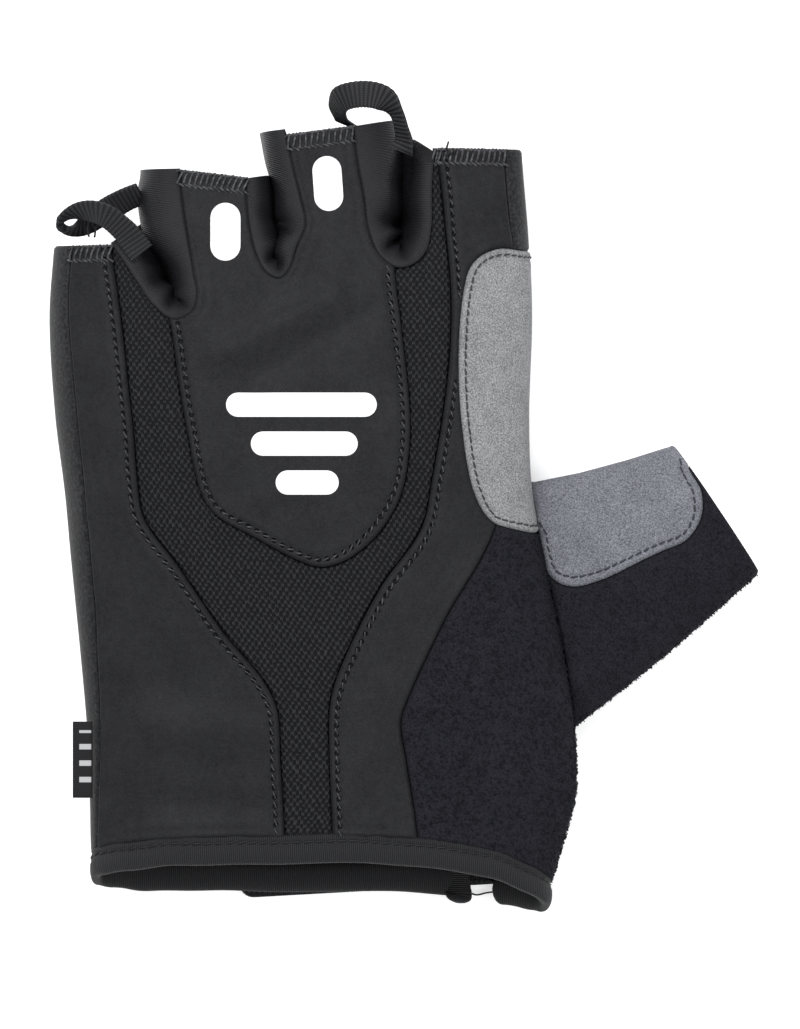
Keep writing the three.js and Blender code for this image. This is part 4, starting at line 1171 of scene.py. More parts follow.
def binding_section(angle):
    """Ahead (towards the fingers) and out (away from the hand) of a point of the tape's section."""
    ahead = signed_power(np.cos(angle), 0.7) * BINDING_WIDTH / 2
    thick = BINDING_THICKNESS / 2 * (1 - 0.1 * ahead / BINDING_WIDTH)
    out = signed_power(np.sin(angle), 0.75) * thick
    pressed = 0.42 * np.exp(-(((ahead - 1.4) / 0.7) ** 2))
    return ahead, out - pressed * (out > 0)


def tube_mesh(name, rings):
    """A tube through rings of points; its map runs along the tube and round the section."""
    rings = np.asarray(rings)
    count, size = rings.shape[:2]
    faces = []
    for i in range(count - 1):
        for j in range(size):
            k = (j + 1) % size
            faces.append((i * size + j, i * size + k, (i + 1) * size + k, (i + 1) * size + j))
    faces += [tuple(range(size))[::-1], tuple((count - 1) * size + j for j in range(size))]
    so_far, around = run_length(rings.mean(1)), run_length(rings[count // 2])
    flat = np.stack([np.repeat(so_far[:, None], size, 1), np.repeat(around[None, :], count, 0)], -1)
    piece = make(name, rings.reshape(-1, 3), faces, flat.reshape(-1, 2))
    face_out(piece)
    return piece


def face_out(piece):
    """Turn the faces of a closed mesh outwards."""
    mesh = bmesh.new()
    mesh.from_mesh(piece.data)
    bmesh.ops.recalc_face_normals(mesh, faces=mesh.faces)
    mesh.to_mesh(piece.data)
    mesh.free()


ring_turns = np.linspace(0, 2 * math.pi, 720, endpoint=False)
ring_y = rim_station(ring_turns, BINDING_GAP + BINDING_WIDTH / 2)
spine = skin(ring_turns, ring_y, -WALL / 2)
tangent = skin(ring_turns + 0.02, ring_y, -WALL / 2) - skin(ring_turns - 0.02, ring_y, -WALL / 2)
outward = unit(np.stack([tangent[:, 2], np.zeros(len(tangent)), -tangent[:, 0]], 1))
section_angles = np.linspace(0, 2 * math.pi, SECTION_POINTS, endpoint=False)
ahead, out = binding_section(section_angles)
wobble = 0.16 * np.sin(ring_turns * 9 + 0.5) + 0.12 * np.sin(ring_turns * 17 + 1.0)
rings = (
    spine[:, None, :]
    + outward[:, None, :] * (out[None, :, None] + 0.3 * wobble[:, None, None])
    + np.stack([np.zeros(SECTION_POINTS), ahead, np.zeros(SECTION_POINTS)], 1)[None]
    + np.array([0, 1, 0])[None, None] * (wobble[:, None, None] * 0.8)
)
slit_low = SLIT["x"] - SLIT["half"]
slit_high = SLIT["x"] + SLIT["half"]
at_slit = (spine[:, 0] > slit_low) & (spine[:, 0] < slit_high) & (spine[:, 2] < 8)
first_slit = int(np.nonzero(at_slit)[0].max()) + 1
order = (np.arange(len(ring_turns) - at_slit.sum()) + first_slit) % len(ring_turns)


def rounded_ends(rings, radius):
    """Rings drawn in towards their middles at both ends, so that a tape ends round."""
    centre = rings.mean(1, keepdims=True)
    so_far = run_length(centre[:, 0])
    to_end = np.minimum(so_far, so_far[-1] - so_far)
    share = np.clip(1 - to_end / radius, 0, 1)
    size = np.sqrt(np.clip(1 - share**2, 0.01, 1))
    return centre + (rings - centre) * size[:, None, None]


binding = tube_mesh("cloth_wrist_binding", rounded_ends(rings[order], 2.2))

# %% Turn the tape round the slit and end it in a knot
edge_middle = hand_column(BOTTOM, -60.0) + WALL / 2
half_edge = SLIT["half"] + SLIT["edge"] / 2
KNOT = (32.6, -69.4)  # the rolled end of the tape on the little finger's side of the slit
slit_spine = [(KNOT[0] + 0.35 * t, KNOT[1] - 1.9 + 1.9 * t) for t in np.linspace(0, 1, 12)]
slit_spine += [
    (KNOT[0] + (SLIT["x"] - half_edge - KNOT[0]) * t + 0.35 * (1 - t), KNOT[1] + (-63 - KNOT[1]) * t)
    for t in np.linspace(0.05, 1, 20)
]
slit_spine += [(SLIT["x"] - half_edge, y) for y in np.linspace(-62.5, SLIT["top"], 20)]
slit_spine += [
    (SLIT["x"] - half_edge * math.cos(a), SLIT["top"] + half_edge * math.sin(a))
    for a in np.linspace(0, math.pi, 40)[1:-1]
]
SLIT_END = -70.2  # station where the tape ends on the thumb's side
slit_spine += [
    (SLIT["x"] + half_edge + 1.2 * t**3, SLIT["top"] + (SLIT_END - SLIT["top"]) * t)
    for t in np.linspace(0, 1, 40)
]
slit_spine = np.array(slit_spine)
slit_along = unit(np.gradient(slit_spine, axis=0))
slit_across = np.stack([-slit_along[:, 1], slit_along[:, 0]], 1)
slit_wide = signed_power(np.cos(section_angles), 0.7) * SLIT["edge"] / 2
slit_thick = signed_power(np.sin(section_angles), 0.75) * BINDING_THICKNESS * 0.46
knot_size = 1 + 0.45 * np.exp(-((np.arange(len(slit_spine)) / 12) ** 2))
slit_rings = []
for at, across, size in zip(slit_spine, slit_across, knot_size):
    wide, thick = slit_wide * size, slit_thick * size
    slit_rings.append(
        np.column_stack([at[0] + across[0] * wide, at[1] + across[1] * wide, edge_middle * size + thick])
    )
slit_edge = tube_mesh("cloth_slit_edge", rounded_ends(np.array(slit_rings), 2.4))
print("binding", len(binding.data.polygons), "faces; slit edge", len(slit_edge.data.polygons))

# %% Ends of thread left over from sewing
LOOSE_THREADS = [
    # x, y and height over the cloth: three at the index finger's corner, two at the little finger's
    [(31.4, 82.4, 0.1), (31.2, 84.0, 0.7), (30.4, 84.9, 0.5), (30.7, 86.4, 0.2)],
    [(31.9, 82.4, 0.1), (32.3, 83.7, 0.6), (31.9, 84.3, 0.8), (32.6, 85.0, 0.1)],
    [(30.6, 82.4, 0.1), (30.2, 83.6, 0.8), (30.9, 84.2, 0.9), (30.3, 85.1, 0.5)],
    [(-42.4, 66.8, 0.1), (-42.0, 69.0, 0.6), (-41.2, 70.0, 0.5), (-41.6, 71.2, 0.1)],
    [(-43.6, 66.9, 0.1), (-43.9, 68.8, 0.6), (-43.2, 70.2, 0.5)],
]
ACROSS_SLIT = [(34.6, -69.0, 1.6), (36.6, -69.7, 1.0), (38.6, -69.3, 0.9), (40.6, -69.0, 1.6)]


def over_cloth(x, y, height):
    """A point a height over the back of the hand, level with the last of the cloth beyond its edge."""
    base = np.array([min(y, 66.5 if x < 0 else 83.5)])
    return x, y, float(skin(turn_at(np.array([x]), base), base)[0, 2]) + height


THREAD_RADIUS = 0.2
six_ways = np.arange(6) * math.pi / 3
thread_ring = THREAD_RADIUS * np.stack([np.cos(six_ways), np.sin(six_ways), 0.6 * np.sin(six_ways)], 1)
loose_ends = []
thread_lines = [ACROSS_SLIT] + [[over_cloth(*row) for row in points] for points in LOOSE_THREADS]
for i, points in enumerate(thread_lines):
    rings = catmull(points, 0.3, 3)[:, None] + thread_ring
    loose_ends.append(tube_mesh("cloth_loose_thread_" + str(i), rings))
    print("loose thread", i, round(float(run_length(catmull(points, 0.3, 3))[-1]), 1), "mm long")

# %% [markdown]
# ## Webbing loops, tab, label and transfers
# Two loops of narrow grosgrain help to pull the glove off. Their cords of weft stand out as ribs across
# the tape, so the tape is swept in very short steps, four to a rib, and is thickest in the middle of
# each rib. Their routes are drawn again here, so they differ a little from those of the solids.
# The fastening tab is hook tape under the wrist, and the label is a short flat ribbon.

# %% Sweep the pull loops
WEBBING_WIDTH = 5.6
WEBBING_THICKNESS = 1.0
RIB_PITCH = 0.9
FINGER_LOOP = [
    # x, y, z, then the direction of the tape's width
    (9.6, 90.4, 10.5, -0.85, 0.4, -0.2), (7.9, 92.6, 15.8, -0.65, 0.7, -0.15),
    (8.6, 95.2, 20.5, -0.25, 0.93, 0.15), (13.2, 96.1, 22.6, 0, 1, 0), (17.2, 95.2, 22.8, 0.25, 0.9, 0.3),
    (19.8, 92.4, 22.2, 0.4, 0.2, 0.88), (21.0, 89.2, 21.2, 0.42, 0.08, 0.9),
    (21.5, 86.4, 20.4, 0.6, 0.12, 0.75), (20.8, 84.2, 20.0, 0.85, 0.3, 0.25),
]
SIDE_LOOP = [
    (-32.6, 63.4, 20.9, 0.8, 0.55, 0), (-36.2, 68.0, 22, 0.62, 0.6, 0.45),
    (-40.6, 71.3, 22.4, 0.35, 0.7, 0.6), (-44.8, 71.9, 20.6, 0.1, 0.6, 0.8),
    (-48.0, 70.9, 18.8, -0.1, 0.25, 0.96), (-49.2, 69.6, 17.6, 0, 0, 1),
    (-47.8, 68.5, 16.2, 0.1, 0.2, 0.97), (-44.6, 69.4, 14.4, -0.2, 0.7, 0.7),
    (-40.0, 72.4, 13.0, -0.35, 0.8, 0.4), (-35.8, 74.7, 13.6, -0.3, 0.75, 0.55),
    (-32.8, 75.8, 14.2, -0.3, 0.75, 0.55),
]


def webbing(name, rows):
    """Grosgrain tape swept along a table of centres and width directions."""
    line = evenly(catmull(rows, 0.2, 3), RIB_PITCH / 4)
    centre, wide = line[:, :3], line[:, 3:]
    along = unit(np.gradient(centre, axis=0))
    wide = unit(wide - along * (wide * along).sum(1, keepdims=True))
    thick = np.cross(along, wide)
    angle = np.linspace(0, 2 * math.pi, 20, endpoint=False)
    across = signed_power(np.cos(angle), 0.35) * WEBBING_WIDTH / 2
    depth = signed_power(np.sin(angle), 0.45) * WEBBING_THICKNESS / 2
    rib = 0.84 + 0.2 * np.abs(np.sin(np.arange(len(line)) * math.pi / 4))
    edge = 0.985 + 0.02 * np.cos(np.arange(len(line)) * math.pi / 2)
    rings = (
        centre[:, None]
        + wide[:, None] * (across[None, :] * edge[:, None])[..., None]
        + thick[:, None] * (depth[None, :] * rib[:, None])[..., None]
    )
    return tube_mesh(name, rings)


pieces["pull_loop_finger"] = webbing("cloth_pull_loop_finger", FINGER_LOOP)
pieces["pull_loop_side"] = webbing("cloth_pull_loop_side", SIDE_LOOP)
print("loops:", [len(pieces[name].data.polygons) for name in ("pull_loop_finger", "pull_loop_side")])


# %% Flat pieces: the tab and the label
def rotated(points, degrees):
    """Plan points turned about the origin."""
    turn = math.radians(degrees)
    spin = np.array([[math.cos(turn), -math.sin(turn)], [math.sin(turn), math.cos(turn)]])
    return points @ spin.T


def slab(name, outline, low, high, spacing, relief=None):
    """A plan outline between two heights with rolled edges."""
    flat, triangles, ring = cut(outline, spacing)
    edge, _ = near_line(ring, flat)
    half = (high - low) / 2
    roll = np.sqrt(np.clip(1 - np.clip(1 - edge / ROLL, 0, 1) ** 2, 0.08, 1))
    wave = relief(flat[:, 0], flat[:, 1]) if relief else 0
    middle = (low + high) / 2
    top = np.column_stack([flat, middle + half * roll + wave])
    bottom = np.column_stack([flat, middle - half * roll])
    return make(name, np.vstack([top, bottom]), two_sided(triangles, len(flat)), np.vstack([flat, flat]))


TAB = {"left": -12.6, "right": 44, "lower": -70.4, "upper": -50.5, "turn": 3.2, "corner": 3}
TAB_THICKNESS = 1.5
corners = [(TAB["right"], TAB["lower"]), (TAB["right"], TAB["upper"])]
for y, start in ((TAB["upper"] - TAB["corner"], 90), (TAB["lower"] + TAB["corner"], 180)):
    for angle in np.radians(np.linspace(start, start + 90, 9)):
        x = TAB["left"] + TAB["corner"] * (1 + math.cos(angle))
        corners.append((x, y + TAB["corner"] * math.sin(angle)))
pivot = np.array([TAB["left"], TAB["lower"]])
tab_outline = rotated(np.array(corners) - pivot, TAB["turn"]) + pivot
pieces["fastening_tab"] = slab("cloth_fastening_tab", tab_outline, 0.02, TAB_THICKNESS, 0.7)

LABEL = {"out": -47, "in": -42.9, "y": -41.3, "length": 15.8, "thickness": 0.9, "z": 14.2}
label_half = LABEL["length"] / 2
label_outline = np.array(
    [
        (LABEL["out"], LABEL["y"] - label_half), (LABEL["in"], LABEL["y"] - label_half),
        (LABEL["in"], LABEL["y"] + label_half), (LABEL["out"], LABEL["y"] + label_half),
    ]
)
pieces["side_label"] = slab(
    "cloth_side_label", label_outline, LABEL["z"], LABEL["z"] + LABEL["thickness"], 0.35,
    lambda x, y: 0.04 * np.sin(y * 0.8),
)


# %% Lay the reflective transfers on the knuckle panel
FILM = 0.22
OVALS = [
    # name, x, y, length, width, turn
    ("reflective_oval_ring", -15.3, 67.7, 12, 6.2, 90),
    ("reflective_oval_middle", 5.8, 77.7, 11.4, 6, 94),
    ("reflective_bar_upper", 0.4, 32, 31, 5, 0),
    ("reflective_bar_middle", 1, 24, 22, 5, 0),
    ("reflective_bar_lower", 1.6, 16, 13, 5, 0),
]


def capsule(x, y, length, width, turn):
    """A round-ended bar outline on the back of the hand."""
    radius, outline = width / 2, []
    for end in (1, -1):
        for angle in np.linspace(-math.pi / 2, math.pi / 2, 24):
            ahead = length / 2 - radius + radius * math.cos(angle)
            outline.append((end * ahead, end * radius * math.sin(angle)))
    return rotated(np.array(outline), turn) + [x, y]


for name, x, y, length, width, turn in OVALS:
    film_outline = on_back(capsule(x, y, length, width, turn))
    pieces[name] = panel("cloth_" + name, Hand, film_outline, 0.5, 0.6, 0.1 + FILM, turned=0.03)
print("transfers:", [name for name, *_ in OVALS])

# %% [markdown]
# ## Trees and materials as plain expressions
# Shader and geometry trees get long when every node is placed by hand. A small class wraps a socket,
# so that sums, products and waves can be written as ordinary Python, and one function adds every other
# node: its settings first, then its sockets as values or links.

# %% Write node maths as Python expressions
def add_node(tree, kind, settings=None, values=None):
    """One node: its settings first, then its sockets as values or links."""
    node = tree.nodes.new(kind)
    for label, value in (settings or {}).items():
        setattr(node, label, value)
    for label, value in (values or {}).items():
        value = value.socket if isinstance(value, Term) else value
        if isinstance(value, bpy.types.NodeSocket):
            tree.links.new(value, node.inputs[label])
        else:
            node.inputs[label].default_value = value
    return node


class Term:
    """A node socket that takes part in ordinary arithmetic."""

    def __init__(self, tree, socket):
        self.tree, self.socket = tree, getattr(socket, "socket", socket)

    def math(self, operation, *values, clamp=False):
        settings = {"operation": operation, "use_clamp": clamp}
        node = add_node(self.tree, "ShaderNodeMath", settings, dict(enumerate(values)))
        return Term(self.tree, node.outputs[0])

    def __add__(self, other):
        return self.math("ADD", self, other)

    def __radd__(self, other):
        return self.math("ADD", other, self)

    def __sub__(self, other):
        return self.math("SUBTRACT", self, other)

    def __rsub__(self, other):
        return self.math("SUBTRACT", other, self)

    def __mul__(self, other):
        return self.math("MULTIPLY", self, other)

    def __rmul__(self, other):
        return self.math("MULTIPLY", other, self)

    def __truediv__(self, other):
        return self.math("DIVIDE", self, other)

    def __neg__(self):
        return 0 - self

    def wave(self, pitch, shift=0.0):
        """A sine from 0 to 1 that comes back every pitch."""
        return 0.5 + 0.5 * self.math("SINE", (self + shift) * (2 * math.pi / pitch))

    def cell(self, pitch, shift=0.0):
        """The distance to the middle of the nearest cell."""
        return (self.math("FRACT", (self + shift) / pitch) - 0.5) * pitch

    def floor(self):
        return self.math("FLOOR", self)

    def size(self):
        """The value without its sign."""
        return self.math("ABSOLUTE", self)

    def larger(self, other):
        return self.math("MAXIMUM", self, other)

    def ramp(self, low, high):
        """0 below low, 1 above high, smooth between."""
        values = {"Value": self, "From Min": low, "From Max": high}
        node = add_node(self.tree, "ShaderNodeMapRange", {"interpolation_type": "SMOOTHSTEP"}, values)
        return Term(self.tree, node.outputs[0])


# %% A finish: one shader with a colour, a roughness and a relief
class Finish:
    """A material whose patterns are written in millimetres on the piece's own map."""

    def __init__(self, name, roughness, specular):
        self.material = bpy.data.materials.new(name)
        self.material.use_nodes = True
        self.tree = self.material.node_tree
        self.shader = self.tree.nodes["Principled BSDF"]
        self.shader.inputs["Roughness"].default_value = roughness
        self.shader.inputs["Specular IOR Level"].default_value = specular

    def add(self, kind, settings=None, values=None, out=0):
        return Term(self.tree, add_node(self.tree, kind, settings, values).outputs[out])

    def split(self, vector):
        node = add_node(self.tree, "ShaderNodeSeparateXYZ", None, {0: vector})
        return [Term(self.tree, output) * (1 / MM) for output in node.outputs]

    def map(self):
        """The two coordinates of the cloth in millimetres."""
        return self.split(self.add("ShaderNodeUVMap", {"uv_map": "cloth"}))[:2]

    def place(self):
        """Object coordinates in millimetres."""
        return self.split(self.add("ShaderNodeTexCoord", out=3))

    def noise(self, grain, detail=2.0, seed=0.0):
        """Noise from 0 to 1 with grains of about this many millimetres."""
        where = self.add("ShaderNodeTexCoord", out=3)
        values = {"Vector": where, "W": seed, "Scale": 1 / (grain * MM), "Detail": detail}
        return self.add("ShaderNodeTexNoise", {"noise_dimensions": "4D"}, values)

    def blend(self, share, first, second):
        """A colour between two colours."""
        node = add_node(self.tree, "ShaderNodeMix", {"data_type": "RGBA"}, {0: share, 6: first, 7: second})
        return Term(self.tree, node.outputs[2])

    def paint(self, share, dark, light):
        """Base colour between two linear colours."""
        colour = self.blend(share, (*dark, 1), (*light, 1))
        self.tree.links.new(colour.socket, self.shader.inputs["Base Color"])

    def raised(self, height, strength=1.0):
        """Relief whose height is given in millimetres."""
        values = {"Strength": strength, "Distance": MM, "Height": height}
        bump = add_node(self.tree, "ShaderNodeBump", None, values)
        self.tree.links.new(bump.outputs[0], self.shader.inputs["Normal"])


print("helpers ready")

# %% [markdown]
# ## Cloth finishes
# All the cloth is black, so the finishes differ by the weave, by how light catches it and by very small
# steps of grey. The stretch knit shows fine courses; the spacer mesh has long staggered holes; the
# gussets are a thin shiny rib; the thumb is brushed terry that swallows light; the patch is grey suede.

# %% Stretch knit of the back
def stitch_holes(finish, wide, deep):
    """1 in the middle of each needle hole of the seam that was cut with the panel."""
    away = finish.add("ShaderNodeAttribute", {"attribute_name": "seam_away"}, out=2)
    along = finish.add("ShaderNodeAttribute", {"attribute_name": "seam_along"}, out=2)
    across_hole, along_hole = away / wide, (along.math("FRACT", along + 0.5) - 0.5) / deep
    return 1 - (across_hole * across_hole + along_hole * along_hole).ramp(0.3, 1.5)


knit = Finish("back_knit", roughness=0.6, specular=0.13)
# Mask of the needle holes: it paints shade into them and also sinks their pits in the relief.
holes = stitch_holes(knit, 0.42, 0.24)
across, along = knit.map()
row = (along / 0.38).floor()
course = along.wave(0.38)
dash = (across + row * 0.21).wave(0.62)
grain = knit.noise(0.5, 3)
broad = knit.noise(9, 2, 3.0)
cloudy = knit.noise(1.6, 4, 7.0)
lit = (0.5 + 0.25 * course * dash) * (0.1 + 1.7 * grain)
shade = lit + 0.5 * (cloudy - 0.5) + 0.6 * (broad - 0.5) - 0.08
# The dark spots at the needle holes are painted shade; their pits are also sunk in the relief below.
knit.paint(shade * (1 - holes) - 0.6 * holes, (0.0045, 0.0045, 0.0052), (0.0242, 0.0244, 0.0262))
knit.raised(0.02 * course * (0.5 + 0.5 * dash) + 0.11 * grain - 0.35 * holes)

# %% Spacer mesh with long staggered holes
mesh_cloth = Finish("air_mesh", roughness=0.7, specular=0.16)
across, along = mesh_cloth.map()
drift = mesh_cloth.noise(2.2, 3, 5.0)
ragged = mesh_cloth.noise(0.7, 2, 11.0)
across, along = across + 0.9 * drift, along + 1.5 * drift
HOLE_PITCH_ACROSS, HOLE_PITCH_ALONG = 1.3, 1.75


def hole(shift_across, shift_along):
    """How deep a point lies in the nearest hole of one of the two lattices."""
    x = across.cell(HOLE_PITCH_ACROSS, shift_across) / 0.33
    y = along.cell(HOLE_PITCH_ALONG, shift_along) / 0.6
    return 1 - (x * x + y * y + 1.6 * (ragged - 0.5)).ramp(0.2, 1.7)


open_part = hole(0, 0).larger(hole(HOLE_PITCH_ACROSS / 2, HOLE_PITCH_ALONG / 2))
fibre = mesh_cloth.noise(0.3, 3)
# The near-black colour in the holes is painted shade of the space behind them; the holes are also sunk in
# the relief.
mesh_cloth.paint(
    (0.15 + 1.4 * fibre) * (1 - 0.95 * open_part) - 0.1, (0.0014, 0.0014, 0.0018), (0.0265, 0.0268, 0.0292)
)
mesh_cloth.raised(-0.22 * open_part + 0.1 * fibre)

# %% Shiny ribbed knit of the gussets
rib_knit = Finish("gusset_knit", roughness=0.48, specular=0.26)
along, around = rib_knit.map()
rib = along.wave(0.36)
stitch = (around + 0.1 * rib).wave(0.55)
speck = rib_knit.noise(0.45, 3)
shine = rib_knit.noise(6, 2, 4.0)
rib_knit.paint(
    rib * (0.5 + 0.4 * stitch) * (0.4 + 0.9 * speck) + 0.35 * (shine - 0.4),
    (0.003, 0.003, 0.004), (0.0235, 0.0235, 0.0272),
)
rib_knit.raised(0.085 * rib + 0.03 * speck)

# %% Brushed terry
terry = Finish("terry", roughness=0.95, specular=0.05)
clump = terry.noise(6, 3)
fluff = terry.noise(0.42, 2, 2.0)
terry.paint(
    0.42 + 0.3 * (clump - 0.5) + 1.5 * (fluff - 0.5), (0.0058, 0.0058, 0.0078), (0.026, 0.026, 0.0325)
)
terry.raised(0.2 * fluff)

# %% Suede, warmer on the hand and cooler on the thumb
SUEDES = {
    "hand": ((0.12, 0.121, 0.125), (0.345, 0.347, 0.355)),
    "thumb": ((0.082, 0.084, 0.097), (0.247, 0.253, 0.285)),
}
suede = {}
for place, (dark, light) in SUEDES.items():
    finish = Finish("suede_" + place, roughness=0.92, specular=0.1)
    nap = finish.noise(0.3, 5)
    smudge = finish.noise(5, 3, 1.0)
    finish.paint(0.42 + 3.2 * (nap - 0.5) + 0.5 * (smudge - 0.5), dark, light)
    finish.raised(0.13 * nap)
    suede[place] = finish

# %% Leather palm, tapes, label, transfers and thread
leather = Finish("palm_leather", roughness=0.55, specular=0.2)
pebble = leather.noise(0.6, 3)
# The inner face is painted darker: painted shade for the inside seen through the wrist opening.
inner_face_shade = leather.add("ShaderNodeAttribute", {"attribute_name": "inner"}, out=2)
leather.paint(
    pebble.ramp(0.35, 0.8) * (1 - inner_face_shade) - 0.25 * inner_face_shade, (0.0045, 0.0045, 0.0053), (0.027, 0.0275, 0.0298)
)
leather.raised(0.14 * pebble)

tape = Finish("binding_knit", roughness=0.6, specular=0.2)
along, around = tape.map()
rib = (along + 0.05 * around).wave(0.42)
lint = tape.noise(0.4, 3)
tape.paint(0.7 * rib * (0.4 + 0.9 * lint), (0.0035, 0.0035, 0.0043), (0.036, 0.0364, 0.039))
tape.raised(0.1 * rib + 0.03 * lint)

ribbon = Finish("webbing", roughness=0.6, specular=0.2)
along, around = ribbon.map()
weft = along.wave(0.9)
bead = weft * around.wave(0.5)
lint = ribbon.noise(0.3, 3)
ribbon.paint((0.3 * weft + 0.3 * bead) * (0.1 + 1.5 * lint), (0.005, 0.005, 0.006), (0.06, 0.061, 0.065))
ribbon.raised(0.05 * bead + 0.05 * lint)

hooks = Finish("hook_tape", roughness=0.75, specular=0.15)
x, y, z = hooks.place()
dots = x.wave(1.1) * y.wave(1.1)
hooks.paint(dots, (0.006, 0.006, 0.007), (0.024, 0.024, 0.026))
hooks.raised(0.15 * dots)

label_cloth = Finish("label_cloth", roughness=0.7, specular=0.15)
x, y, z = label_cloth.place()
bar = 1 - (y - (LABEL["y"] + 1.0)).cell(3.4).size().ramp(0.5, 0.62)
bar_middle = LABEL["in"] - 1.5
near_middle = 1 - (x - bar_middle).size().ramp(1.15, 1.3)
near_ends = 1 - (y - (LABEL["y"] + 0.4)).size().ramp(5.6, 5.8)
label_cloth.paint(bar * near_middle * near_ends, (0.012, 0.012, 0.013), (0.42, 0.42, 0.43))
label_cloth.raised(0.05 * y.wave(0.4))

film = Finish("reflective_film", roughness=0.45, specular=0.5)
bead = film.noise(0.25, 2)
film.paint(bead, (0.86, 0.86, 0.87), (0.95, 0.95, 0.95))

thread = Finish("sewing_thread", roughness=0.42, specular=0.5)
# The lighter patches along the black thread are painted glints.
painted_glint = thread.noise(0.6, 2)
thread.paint(painted_glint.ramp(0.45, 0.8), (0.009, 0.009, 0.0105), (0.078, 0.079, 0.084))
chain_thread = Finish("overlock_thread", roughness=0.5, specular=0.3)
# The lighter patches along the black overlock thread are painted glints.
painted_glint = chain_thread.noise(0.7, 2)
chain_thread.paint(painted_glint.ramp(0.35, 0.8), (0.018, 0.018, 0.02), (0.1, 0.101, 0.107))
tape_thread = Finish("tape_thread", roughness=0.5, specular=0.25)
tape_thread.shader.inputs["Base Color"].default_value = (0.009, 0.009, 0.0105, 1)
suede_thread = Finish("suede_thread", roughness=0.5, specular=0.3)
suede_thread.shader.inputs["Base Color"].default_value = (0.028, 0.029, 0.036, 1)

floor_white = Finish("studio_floor", roughness=0.9, specular=0.0)
floor_white.shader.inputs["Base Color"].default_value = (0.9, 0.9, 0.9, 1)
floor_white.shader.inputs["Emission Color"].default_value = (1, 1, 1, 1)
floor_white.shader.inputs["Emission Strength"].default_value = 0.45
floor.data.materials.append(floor_white.material)

FINISHES = {
    # solid piece: its finish; binding and threads follow below
    "palm_panel": leather, "outer_back_panel": knit, "mesh_panel": mesh_cloth, "knuckle_panel": knit,
    "inner_back_panel": knit, "thenar_panel": terry, "thumb_stall": terry,
    "hand_suede_patch": suede["hand"], "thumb_suede_patch": suede["thumb"],
    "gusset_little_ring": rib_knit, "gusset_ring_middle": rib_knit, "gusset_middle_index": rib_knit,
    "fastening_tab": hooks, "side_label": label_cloth, "pull_loop_finger": ribbon, "pull_loop_side": ribbon,
}
for name, *_ in OVALS:
    FINISHES[name] = film
for name, finish in FINISHES.items():
    pieces[name].data.materials.append(finish.material)
for piece in (binding, slit_edge):
    piece.data.materials.append(tape.material)
for piece in loose_ends:
    piece.data.materials.append(tape_thread.material)
print("finishes:", sorted({finish.material.name for finish in FINISHES.values()}))

# %% [markdown]
# ## Thread, stitch by stitch
# Sewing shows as short raised threads with dark dips between them. One node tree makes every seam: it
# walks a line at the stitch pitch, sets a small arched thread at each step, turns it with the surface
# and slants it a little. The thread has few sides, because it comes back many hundreds of times.

# %% The stitch tree
def new_tree(name, inputs):
    """An empty Geometry Nodes tree with named inputs; returns it with its input and output nodes."""
    tree = bpy.data.node_groups.new(name, "GeometryNodeTree")
    tree.interface.new_socket("Geometry", in_out="INPUT", socket_type="NodeSocketGeometry")
    for label, (kind, value) in inputs.items():
        socket = tree.interface.new_socket(label, in_out="INPUT", socket_type="NodeSocket" + kind)
        if value is not None:
            socket.default_value = value
    tree.interface.new_socket("Geometry", in_out="OUTPUT", socket_type="NodeSocketGeometry")
    given = tree.nodes.new("NodeGroupInput")
    return tree, given.outputs, tree.nodes.new("NodeGroupOutput").inputs[0]


def thread_shape(tree, length, thickness, arch):
    """One arched thread lying along X."""
    half = Term(tree, length) * 0.5
    start = add_node(tree, "ShaderNodeCombineXYZ", None, {0: -half, 2: Term(tree, arch) * -0.6})
    crown = add_node(tree, "ShaderNodeCombineXYZ", None, {2: Term(tree, arch) * 2})
    end = add_node(tree, "ShaderNodeCombineXYZ", None, {0: half, 2: Term(tree, arch) * -0.6})
    values = {"Resolution": 5, "Start": start.outputs[0], "Middle": crown.outputs[0], "End": end.outputs[0]}
    path = add_node(tree, "GeometryNodeCurveQuadraticBezier", None, values)
    radius = Term(tree, thickness) * 0.5
    section = add_node(tree, "GeometryNodeCurvePrimitiveCircle", None, {"Resolution": 5, "Radius": radius})
    values = {"Curve": path.outputs[0], "Profile Curve": section.outputs[0], "Fill Caps": True}
    return add_node(tree, "GeometryNodeCurveToMesh", None, values).outputs[0]


def finish_tree(tree, instances, material, result):
    """Make the instances real and give them their material."""
    real = add_node(tree, "GeometryNodeRealizeInstances", None, {0: instances})
    smooth = add_node(tree, "GeometryNodeSetShadeSmooth", None, {0: real.outputs[0]})
    values = {"Geometry": smooth.outputs[0], "Material": material}
    coated = add_node(tree, "GeometryNodeSetMaterial", None, values)
    tree.links.new(coated.outputs[0], result)


sizes = {
    "Pitch": ("Float", 0.0019), "Length": ("Float", 0.0013), "Thickness": ("Float", 0.00035),
    "Arch": ("Float", 0.0001), "Turn": ("Float", 0.3), "Unevenness": ("Float", 0.12),
    "Seed": ("Int", 3), "Material": ("Material", None),
}
stitch_tree, given, result = new_tree("stitches", sizes)
curve = add_node(stitch_tree, "GeometryNodeMeshToCurve", None, {0: given["Geometry"]})
steps = add_node(
    stitch_tree, "GeometryNodeResampleCurve", {"mode": "LENGTH"},
    {0: curve.outputs[0], "Length": given["Pitch"]},
)
up = add_node(
    stitch_tree, "GeometryNodeInputNamedAttribute", {"data_type": "FLOAT_VECTOR"}, {"Name": "up"}
)
stand = add_node(
    stitch_tree, "FunctionNodeAlignRotationToVector", {"axis": "Z"}, {"Vector": up.outputs["Attribute"]}
)
tangent_of = add_node(stitch_tree, "GeometryNodeInputTangent")
head = add_node(
    stitch_tree, "FunctionNodeAlignRotationToVector", {"axis": "X", "pivot_axis": "Z"},
    {"Rotation": stand.outputs[0], "Vector": tangent_of.outputs[0]},
)
uneven = Term(stitch_tree, given["Unevenness"])
